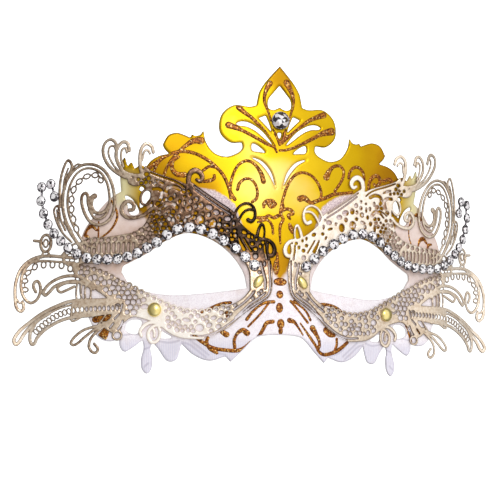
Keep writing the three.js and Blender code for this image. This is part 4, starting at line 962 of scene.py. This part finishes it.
    "laceRings": [54, -7, 56.6, -8.6, 59, -9.6, 61.6, -10, 64.2, -10.4, 66.8, -10.6, 69.4, -10.6, 72, -10.4,
        74.6, -10.6],
    "ladder": [62.6, -38, 70, -38.2, 79.6, -38.9, 85.2, -40.6, 90, -43.6, 94, -47.4],
    # lace along the rims: radius of the metal added at each place, then of its opening
    "rounds": {"outerLace": (1.2, 0.65), "scallop": (1.35, 0.62), "laceRings": (1.3, 0.75)},
    "scallopPitch": 2.75,
    # slits of the comb, and beads along the ladder: half sizes of an opening, the rim round it, how far ahead
    # the ladder's turn is taken, and the turn of the last
    "comb": {"from": 57, "to": 76.6, "pitch": 1.9, "high": -12.2, "low": -15.4, "width": 0.95},
    "beads": {"count": 21, "half": (0.5, 0.95), "rim": (0.5, 0.45), "ahead": 0.4, "lastTurn": -45},
    "leastHole": 0.2,
}


# one sheet of cut metal, drawn flat on the right-hand side
def drawMetal(canvas, own):
    rounds = metal["rounds"]
    canvas.add(canvas.area(joinedRuns(metal["plateEdge"])))
    canvas.cut(canvas.area(joinedRuns(metal["plateEye"])))
    rows = {
        "outerLace": pairs(metal["outerLace"]),
        "scallop": placesAlong(pairs(metal["plateEye"][0][2:]), metal["scallopPitch"]),
        "laceRings": pairs(metal["laceRings"]),
    }
    for key, places in rows.items():
        for x, y in places:
            canvas.add(canvas.oval(x, y, rounds[key][0]))
    for hole in metal["holes"] + own["holes"]:
        canvas.cut(canvas.oval(*hole))
    for width, *run in metal["slots"].values():
        canvas.cut(canvas.line(pairs(run), width))
    for opening in metal["openings"].values():
        canvas.cut(canvas.area(smoothLine(pairs(opening), closed=True)))
    comb = metal["comb"]
    for x in np.arange(comb["from"], comb["to"], comb["pitch"]):
        canvas.cut(canvas.line([(x, comb["high"]), (x, comb["low"])], comb["width"]))
    for key, places in rows.items():
        for x, y in places:
            canvas.cut(canvas.oval(x, y, rounds[key][1]))
    for solid in metal["solid"]:
        canvas.add(canvas.oval(*solid))
    rng = np.random.default_rng(metal["seed"])
    for pitch, largest, *outline in metal["lace"] + own["lace"]:
        cutLace(canvas, pitch, largest, pairs(outline), rng)
    cutBeads(canvas, metal["beads"])
    for group in (metal["lines"], own["lines"], metal["bars"]):
        canvas.addLines(group)
    for x, y, rx, ry, width, turn in metal["rings"]:
        inner = (max(radius - width / 2, metal["leastHole"]) for radius in (rx, ry))
        canvas.cut(canvas.oval(x, y, *inner, turn))
        for place, distance in canvas.oval(x, y, rx, ry, turn):
            canvas.add([(place, np.abs(distance) - width / 2)])


# places along a smooth line at an even pitch
def placesAlong(points, pitch):
    run, length = measured(points)
    return placesAt(run, length, np.arange(pitch / 2, length[-1], pitch))


# places in rows inside an outline, every other row half a pitch along
def closeRows(outline, pitch):
    (lowX, lowY), (highX, highY) = outline.min(0), outline.max(0)
    places = []
    for k, y in enumerate(np.arange(lowY, highY, pitch * metal["rowPitch"])):
        x = np.arange(lowX + (k % 2) * pitch / 2, highX, pitch)
        places += [(value, y) for value in x[insideOf(outline, x, np.array([y]))[0]]]
    return np.array(places)


# a zone cut to open lace: round openings in loose rows, with a thin web left between them; each reaches as
# far as the least of its own size, the border with any other less half a web, and the plate's edge less a
# web; that border is the difference of the squares of the two distances over twice their gap
def cutLace(canvas, pitch, largest, outline, rng):
    places = closeRows(outline, pitch)
    places += rng.normal(0, pitch * metal["looseness"], places.shape)
    sizes = largest * rng.uniform(*metal["sizes"], len(places))
    deep = np.array([canvas.depthAt(x, y) > metal["web"] + metal["smallest"] for x, y in places])
    for x, y, room in metal["solid"]:
        deep &= np.hypot(places[:, 0] - x, places[:, 1] - y) > room + metal["smallest"]
    places, sizes = places[deep], sizes[deep]
    margin = largest * metal["margin"]
    place, gridX, gridY = canvas.window(*(places.min(0) - margin), *(places.max(0) + margin))
    reach = np.hypot(gridX[..., None] - places[:, 0], gridY[..., None] - places[:, 1])
    nearest, near = reach.argmin(2), reach.min(2)
    apart = np.linalg.norm(places[nearest][:, :, None] - places, axis=3)
    border = (reach**2 - near[..., None]**2) / (2 * np.where(apart > 0, apart, 1))
    np.put_along_axis(border, nearest[..., None], np.inf, 2)
    opening = np.minimum(border.min(2) - metal["web"] / 2, sizes[nearest] - near)
    opening = np.minimum(opening, -canvas.field[place] - metal["web"])
    for x, y, room in metal["solid"]:
        opening = np.minimum(opening, np.hypot(gridX - x, gridY - y) - room)
    canvas.cut([(place, -opening)])


# the row of upright beads with openings between them, carried along the ladder
def cutBeads(canvas, beads):
    run, length = measured(pairs(metal["ladder"]))
    at = np.linspace(0, 1, beads["count"]) * length[-1]
    places = placesAt(run, length, at)
    ahead = placesAt(run, length, np.minimum(at + beads["ahead"], length[-1])) - places
    turns = np.degrees(np.arctan2(ahead[:, 1], ahead[:, 0]))
    turns[-1] = beads["lastTurn"]
    halfWide, halfHigh = beads["half"]
    for (x, y), turn in zip(places, turns):
        canvas.add(canvas.oval(x, y, halfWide + beads["rim"][0], halfHigh + beads["rim"][1], turn))
        canvas.cut(canvas.oval(x, y, halfWide, halfHigh, turn))


filigree = {}
for word, side in sides.items():
    canvas = Canvas(*metal["canvas"])
    drawMetal(canvas, metal["own"][word.lower()])
    shape = CutShape(canvas)
    top = metal["thickness"] - edgeRound(shape.depth, metal["roundedEdge"])
    looks = {"edge": shape.depth, "tone": toneAt(metal["tones"][word.lower()], shape.x, shape.y)}
    filigree[word] = sheetFrom("filigree" + word, shape, 0.0, top, side, looks)
    print("filigree", word, len(filigree[word].data.polygons), "faces")

# stones of the chain in their cups; a profile is radius, height, radius, height
chain = {
    "places": [10.3, -21.3, 13.9, -18, 17.7, -14.6, 22.3, -11.5, 26.5, -8.9, 31, -7, 35.4, -6.3, 39.9, -7,
        43.8, -9.1, 47.5, -11.8, 51.1, -13.8, 54.7, -15.8, 58.5, -17.2, 62.4, -18, 66.3, -18.3, 70.2, -18.3,
        74.2, -17.7, 78, -16, 81.5, -13.5, 84.5, -10.5, 87.2, -7.3, 89.7, -3.4, 91.6, 1.3, 92.8, 6.6,
        92.7, 12.4, 89, 13.4, 87.4, 8],
    # level of the cups' feet out from the face; the stones' and the links' levels are counted from it
    "foot": 0.72,
    "cup": [0, 0, 1.5, 0, 1.98, 0.35, 2.2, 0.9, 2.2, 1.2, 2.15, 1.28, 2.06, 1.24, 2, 1.1, 0, 1],
    "cupSides": 14,
    "stoneRadius": 2.04,
    "stoneLevel": 1.08,
    "stoneDepth": 0.5,
    # share of the radius, and height of the table, the middle facets and the girdle
    "cut": {"table": (0.55, 0.78), "middle": (0.82, 0.42), "girdle": (1.0, 0.1)},
    # share of the table, edge and middle facets painted dark, as painted reflections
    "dark": (0.2, 0.5, 0.4),
    "linkRadius": 0.45,
    "linkLevel": 0.55,
    "linkSides": 8,
    "seed": 11,
}


# a round stone: the corners of a ring lie at its share of the radius, times the cosine and sine of even
# angles; between them are a table of n sides, star, main and girdle facets, and a cone below
def cutStone(radius, cut, depth, n=8):
    rings = []
    for name, count, turn in (("table", n, 0), ("middle", n, 0.5), ("girdle", 2 * n, 0)):
        share, height = cut[name]
        angle = (np.arange(count) + turn) * 2 * np.pi / count
        rings.append(np.column_stack([share * radius * np.cos(angle), share * radius * np.sin(angle),
                                      np.full(count, height)]))
    points = np.vstack([*rings, [(0, 0, -depth), (0, 0, cut["table"][1])]])
    k, ring, low, centre = np.arange(n), np.arange(2 * n), 4 * n, 4 * n + 1
    ahead, middle, girdle = (k + 1) % n, n + k, 2 * n + 2 * k
    after, last = girdle + 1, 2 * n + (2 * k + 2) % (2 * n)
    triangles = np.concatenate([np.column_stack(corners) for corners in (
        (np.full(n, centre), k, ahead), (k, middle, ahead), (girdle, after, middle), (after, last, middle),
        (2 * n + (ring + 1) % (2 * n), 2 * n + ring, np.full(2 * n, low)))])
    return points, [triangles, np.column_stack([k, n + (k - 1) % n, girdle, middle])]


# stones with painted reflections: dark facets among bright ones, each stone turned a little, up to the most
# turn in radians
def stonesAt(name, places, offset, look, seed, mostTurn=0.8, darkTones=(0, 0.3), brightTones=(0.5, 1), n=8):
    rng = np.random.default_rng(seed)
    points, faces = cutStone(look["stoneRadius"], look["cut"], look["stoneDepth"])
    standings = standing(places, offset + look["stoneLevel"], rng.uniform(0, mostTurn, len(places)))
    split = len(faces[0])
    darkShare = np.repeat(look["dark"], [n, split - n, len(faces[1])])
    dark = rng.random((len(places), len(darkShare))) < darkShare
    tone = np.where(dark, rng.uniform(*darkTones, dark.shape), rng.uniform(*brightTones, dark.shape))
    facets = np.concatenate([tone[:, :split].ravel(), tone[:, split:].ravel()])
    piece = copies(name, (points, faces), standings, faceValues={"facet": facets})
    piece.data.shade_flat()
    return piece


# a turned profile at each place, stretched across and along, then turned about the normal
def cupsAt(name, places, offset, profile, count, stretch=(1, 1), turn=0):
    points, faces = turnedProfile(profile, count)
    standings = standing(places, offset, math.radians(turn))
    return copies(name, (points * (*stretch, 1), faces), standings, sharpAngle=50)


# short rods that join each cup to the next, sunk into both
def linksAlong(name, places, level, radius, count):
    base, _ = standing(places, level)
    run = np.diff(base, axis=0)
    across = unit(np.cross(unit(run), np.array([0.0, 0.0, 1.0])))
    axes = np.stack([across, np.cross(across, unit(run)), run], 1)
    rod = turnedProfile([(0, 0), (radius, 0), (radius, 1), (0, 1)], count)
    return copies(name, rod, (base[:-1], axes), sharpAngle=50)


chainPieces = {}
for word, side in sides.items():
    places = pairs(chain["places"]) * (side, 1)
    chainPieces[word] = (
        stonesAt("chainStones" + word, places, chain["foot"], chain, chain["seed"] + side),
        cupsAt("chainCups" + word, places, chain["foot"], pairs(chain["cup"]), chain["cupSides"]),
        linksAlong("chainLinks" + word, places, chain["foot"] + chain["linkLevel"], chain["linkRadius"],
                   chain["linkSides"]))
print("chains", sum(len(piece.data.polygons) for pair in chainPieces.values() for piece in pair), "faces")

# crown stone in its setting
crown = {
    "setting": [0, 0, 3.3, 0, 3.6, 0.35, 3.68, 1.1, 3.6, 1.35, 3.35, 1.35, 3.2, 1.05, 0, 0.9],
    "settingSides": 40,
    "stoneRadius": 3.25,
    "stoneLevel": 0.95,
    "stoneDepth": 0.8,
    "cut": {"table": (0.5, 1.9), "middle": (0.8, 1.15), "girdle": (1.0, 0.15)},
    # share of the table, edge and middle facets painted dark, as painted reflections
    "dark": (0.3, 0.5, 0.4),
    "seed": 3,
}
crownStone = stonesAt("crownStone", [crownPlace], 0.0, crown, crown["seed"])
crownSetting = cupsAt("crownSetting", [crownPlace], 0.0, pairs(crown["setting"]), crown["settingSides"])
print("crown stone done")

# rivets: dome head, shank and back head
rivet = {
    "outer": {"place": (47.8, -38.8), "radius": 2.9, "dome": 1.9, "stretch": (1, 1), "turn": 0},
    "inner": {"place": (8.8, -27.8), "radius": 2.0, "dome": 1.3, "stretch": (1.4, 0.86), "turn": -57},
    "under": 1.2,
    "back": -2.5,
    "backRadius": 1.8,
    "backThickness": 0.6,
    "backRound": 0.2,
    "headRound": 0.1,
    "shankRadius": 0.9,
    # where the dome starts, as a share of its quarter turn
    "domeStart": 0.12,
    "domeRings": 9,
    "sides": 40,
}


# from the back: back head, shank, underside of the head, then the dome as a quarter oval: the radius times
# the cosine of a turn, and the dome's height times its sine
def rivetProfile(radius, dome):
    under, top, wide, shank = (rivet[key] for key in ("under", "back", "backRadius", "shankRadius"))
    low, soft, lip = top - rivet["backThickness"], rivet["backRound"], rivet["headRound"]
    turns = np.linspace(rivet["domeStart"], 1, rivet["domeRings"])[:-1] * math.pi / 2
    arch = [(radius * math.cos(turn), under + dome * math.sin(turn)) for turn in turns]
    return [(0, low), (wide - soft, low), (wide, low + soft), (wide, top), (shank, top), (shank, under),
            (radius - lip, under), (radius, under + lip), *arch, (0, under + dome)]


rivetPieces = {}
for word, side in sides.items():
    for which in ("outer", "inner"):
        own = rivet[which]
        x, y = own["place"]
        rivetPieces[which, word] = cupsAt(which + "Rivet" + word, [(side * x, y)], 0.0,
                                          rivetProfile(own["radius"], own["dome"]), rivet["sides"],
                                          own["stretch"], side * own["turn"])
print("rivets done")


# painted shell: satin gold above, its tone painted light and shade; white with fine glitter below, and bare
# pale plastic inside; all but the shiny gold glows faintly, a painted glow
def shellPaint():
    paint = material("shellPaint")
    cloud = paint.cloud(9, 3)
    ragged = (paint.cloud(1.6, 2) - 0.5) * 1.2
    tail = paint.painted("tail")
    soft = tail * 2.2
    goldShare = 1 - paint.ease(paint.painted("gold") + ragged, -0.5 - soft, soft + 1.4)
    lilacShare = 1 - paint.ease(paint.painted("lilac") + ragged * 0.6, -0.4, 0.5)
    # the gold's colour follows its tone, which is painted light and shade
    gold = paint.ramp(paint.painted("tone") + (cloud - 0.5) * 0.2, (0, 142, 90, 10), (0.3, 178, 130, 8),
                      (0.5, 204, 164, 10), (0.75, 226, 188, 26), (1, 240, 208, 116))
    gold = paint.mix(tail * 0.85, gold, (226, 220, 176))
    sparkle = paint.part(paint.flakes(0.33), "Red")
    level = paint.part(paint.place(), "Y")
    petal = 1 - paint.ease(level, *shell["petalTop"])
    ribs = paint.pattern("Wave", 1000 / shell["ribsPerMetre"], "Fac", Distortion=1.5, Detail=1.0)
    # painted shade along the creases
    vein = 1 - paint.ease(paint.painted("vein"), 0.0, 0.5)
    white = paint.mix(paint.ease(sparkle, 0.1, 0.7), (230, 222, 229), (242, 237, 241))
    white = paint.mix(petal * (0.5 + ribs * 0.4), white, (208, 205, 220))
    white = paint.mix(vein * 0.5, white, (172, 166, 182))
    white = paint.mix(paint.ease(level, *shell["browWarmth"]) * 0.8, white, (232, 212, 204))
    white = paint.mix(paint.painted("tan") + (paint.cloud(2.5) - 0.5) * 0.5, white, (186, 150, 126))
    lilac = paint.mix(paint.ease(sparkle, 0.2, 0.9), (188, 168, 172), (232, 214, 212))
    bare = 1 - paint.ease(paint.painted("patch"), -0.6, 0.6)
    patches = bare * paint.ease(paint.cloud(3.0, 2), 0.47, 0.55)
    pale = paint.mix(paint.ease(paint.cloud(2.2), 0.42, 0.58), (190, 152, 124), (244, 232, 226))
    colour = paint.mix(patches, paint.mix(goldShare, white, gold), pale)
    outside = 1 - (paint.painted("inner") > 0.5)
    colour = paint.mix(outside, (226, 222, 214), paint.mix(lilacShare, colour, lilac))
    shine = goldShare * (1 - lilacShare) * (1 - patches) * outside * (1 - tail * 0.7)
    return paint.shade({
        "Base Color": colour, "Metallic": shine * 0.72, "Specular IOR Level": 0.15,
        "Roughness": 0.5 - shine * 0.08 + (cloud - 0.5) * 0.1,
        "Normal": paint.bump(sparkle * (1 - goldShare) * outside, 0.05, 0.5),
        # all but the shiny gold glows faintly with its own colour, a painted glow
        "Emission Color": paint.mix(shine, colour, (0, 0, 0)), "Emission Strength": 0.1})


def glitterCoat():
    coat = material("copperGlitter")
    flakes = coat.flakes(0.42)
    colour = coat.ramp(coat.part(flakes, "Red"), (0, 66, 28, 0), (0.35, 128, 66, 6), (0.7, 178, 104, 18),
                       (0.92, 216, 152, 56), (0.99, 250, 220, 150))
    grain = coat.bump(coat.part(flakes, "Green"), 0.25, 0.9)
    return coat.shade({"Base Color": colour, "Metallic": 0.5, "Roughness": 0.35, "Normal": grain})


# thin plating whose tone is painted light and shade: bright, matt and faintly glowing where the tone is high,
# dark and shiny where it is low, with painted shade at the edges
def platedMetal():
    plate = material("platedMetal")
    cloud = plate.cloud(5, 3)
    # the tone read here is painted light and shade
    shade = plate.painted("tone")
    spots = (plate.cloud(1.1, 2) - 0.5) * (0.25 + shade * (1.1 - shade) * 1.6)
    colour = plate.ramp(shade + (cloud - 0.5) * 0.5 + spots, (0, 34, 25, 20), (0.25, 132, 98, 74),
                        (0.5, 208, 184, 158), (0.75, 238, 220, 198), (1, 255, 247, 237))
    # painted shade darkening the metal along its edges
    rim = 1 - plate.ease(plate.painted("edge"), 0.0, 0.3)
    rimShadeColour = plate.ramp(shade, (0, 22, 15, 12), (0.3, 76, 54, 40), (0.6, 94, 72, 56), (1, 200, 178, 158))
    colour = plate.mix(rim * 0.85, colour, rimShadeColour)
    return plate.shade({
        "Base Color": colour, "Metallic": 0.95 - 0.75 * shade, "Roughness": 0.26 + (cloud - 0.5) * 0.16,
        # the brightest tones glow faintly, a painted glow
        "Normal": plate.bump(plate.cloud(0.5), 0.02, 0.4), "Emission Strength": 0.12,
        "Emission Color": plate.mix(plate.ease(shade, 0.7, 1.0), (0, 0, 0), colour)})


def stoneLook():
    stone = material("clearStone")
    # each facet's colour is a painted reflection, dark or bright
    colour = stone.ramp(stone.painted("facet"), (0, 8, 6, 12), (0.3, 88, 80, 86), (0.5, 230, 222, 226),
                        (1, 255, 255, 255))
    return stone.shade({"Base Color": colour, "Metallic": 0.1, "Roughness": 0.08, "Coat Weight": 0.6,
                        "Coat Roughness": 0.03})


def cupLook():
    cup = material("stoneCup")
    # cups mottled dark and light as painted reflections
    colour = cup.mix(cup.ease(cup.cloud(0.9), 0.35, 0.65), (58, 54, 60), (168, 162, 166))
    return cup.shade({"Base Color": colour, "Metallic": 1.0, "Roughness": 0.22})


def brassLook():
    brass = material("rivetBrass")
    # brass mottled between its yellow and a pale painted highlight
    colour = brass.mix(brass.cloud(1.2, 2), (228, 200, 104), (255, 242, 176))
    grain = brass.bump(brass.cloud(0.5), 0.03, 0.4)
    return brass.shade({"Base Color": colour, "Metallic": 0.85, "Roughness": 0.28, "Normal": grain})


paint, coat, plating = shellPaint(), glitterCoat(), platedMetal()
clearStone, stoneCup, brass = stoneLook(), cupLook(), brassLook()
finished(shellPiece, "painted_shell", paint, "mask_shell")
finished(glitterPiece, "painted_shell", coat, "mask_shell")
for word in sides:
    end = "_" + word.lower()
    finished(filigree[word], "filigree_metal", plating, "filigree" + end)
    stones, cups, links = chainPieces[word]
    finished(stones, "clear_stone", clearStone, "stone_chain" + end)
    for piece in (cups, links):
        finished(piece, "stone_cups", stoneCup, "stone_chain" + end)
    for which in ("outer", "inner"):
        finished(rivetPieces[which, word], "rivet_brass", brass, which + "_rivet" + end)
finished(crownStone, "clear_stone", clearStone, "crown_stone")
finished(crownSetting, "stone_cups", stoneCup, "crown_stone")
print("finishes done")

# floor, light and camera
stage = {
    "floorHalf": 1.5,
    # place in the mask's own millimetres
    "cameraPlace": (-100.0, -67.8, 466.8),
    "cameraRight": (0.97939, 0.00851, 0.20181),
    "cameraUp": (-0.03242, 0.99278, 0.11547),
    "cameraBack": (-0.19937, -0.11963, 0.97260),
    "lens": 80,
    "sensor": 36,
    "cameraNear": 0.01,
    "lampPlace": (-0.1, 0.35, 0.9),
    "lampSize": 0.5,
    "lampWatts": 3.0,
    # sky: brightness low down, what is added high up, and what the right adds to that; then the heights and
    # the places to the right between which these come in
    "skyLow": 0.16,
    "skyHigh": 0.3,
    "skyRight": 0.7,
    "skyRise": (0.12, 0.5),
    "skyTurn": (-0.6, 0.0),
    "skyStrength": 0.95,
}
half = stage["floorHalf"]
floorMesh = bpy.data.meshes.new("floor")
corners = [(-half, -half, 0), (half, -half, 0), (half, half, 0), (-half, half, 0)]
floorMesh.from_pydata(corners, [], [(0, 1, 2, 3)])
floorMesh.materials.append(material("paleFloor").shade({
    "Base Color": (0.9, 0.9, 0.9, 1), "Roughness": 0.9,
    "Emission Color": (1, 1, 1, 1), "Emission Strength": 0.8}))
floor = bpy.data.objects.new("floor", floorMesh)
floor.visible_diffuse = False
floor.visible_glossy = False
lampData = bpy.data.lights.new("overhead", "AREA")
lampData.shape, lampData.size, lampData.energy = "DISK", stage["lampSize"], stage["lampWatts"]
lamp = bpy.data.objects.new("overhead", lampData)
lamp.location = stage["lampPlace"]
lamp.rotation_mode = "QUATERNION"
lamp.rotation_quaternion = Vector(stage["lampPlace"]).to_track_quat("Z", "Y")
cameraData = bpy.data.cameras.new("camera")
cameraData.lens, cameraData.sensor_width = stage["lens"], stage["sensor"]
cameraData.clip_start = stage["cameraNear"]
camera = bpy.data.objects.new("camera", cameraData)
turn = Matrix([stage["cameraRight"], stage["cameraUp"], stage["cameraBack"]]).transposed()
place = (np.array(stage["cameraPlace"]) + shift) / 1000
camera.matrix_world = Matrix.Translation(Vector(place)) @ turn.to_4x4()
for thing in (floor, lamp, camera):
    bpy.context.scene.collection.objects.link(thing)
bpy.context.scene.camera = camera

# the sky seen in the metal: bright overhead and to the right, dim to the left
sky = Recipe(bpy.data.worlds.new("softSky"))
direction = sky.node("ShaderNodeTexCoord", give="Generated")
right, high = sky.part(direction, "X"), sky.part(direction, "Z")
added = stage["skyHigh"] + sky.ease(right, *stage["skyTurn"]) * stage["skyRight"]
level = (stage["skyLow"] + sky.ease(high, *stage["skyRise"]) * added) * stage["skyStrength"]
background = sky.node("ShaderNodeBackground", {}, {"Color": (1, 1, 1, 1), "Strength": level})
sky.node("ShaderNodeOutputWorld", {}, {"Surface": background})
bpy.context.scene.world = sky.owner
bpy.context.scene.view_settings.view_transform = "Standard"
print("stage done")
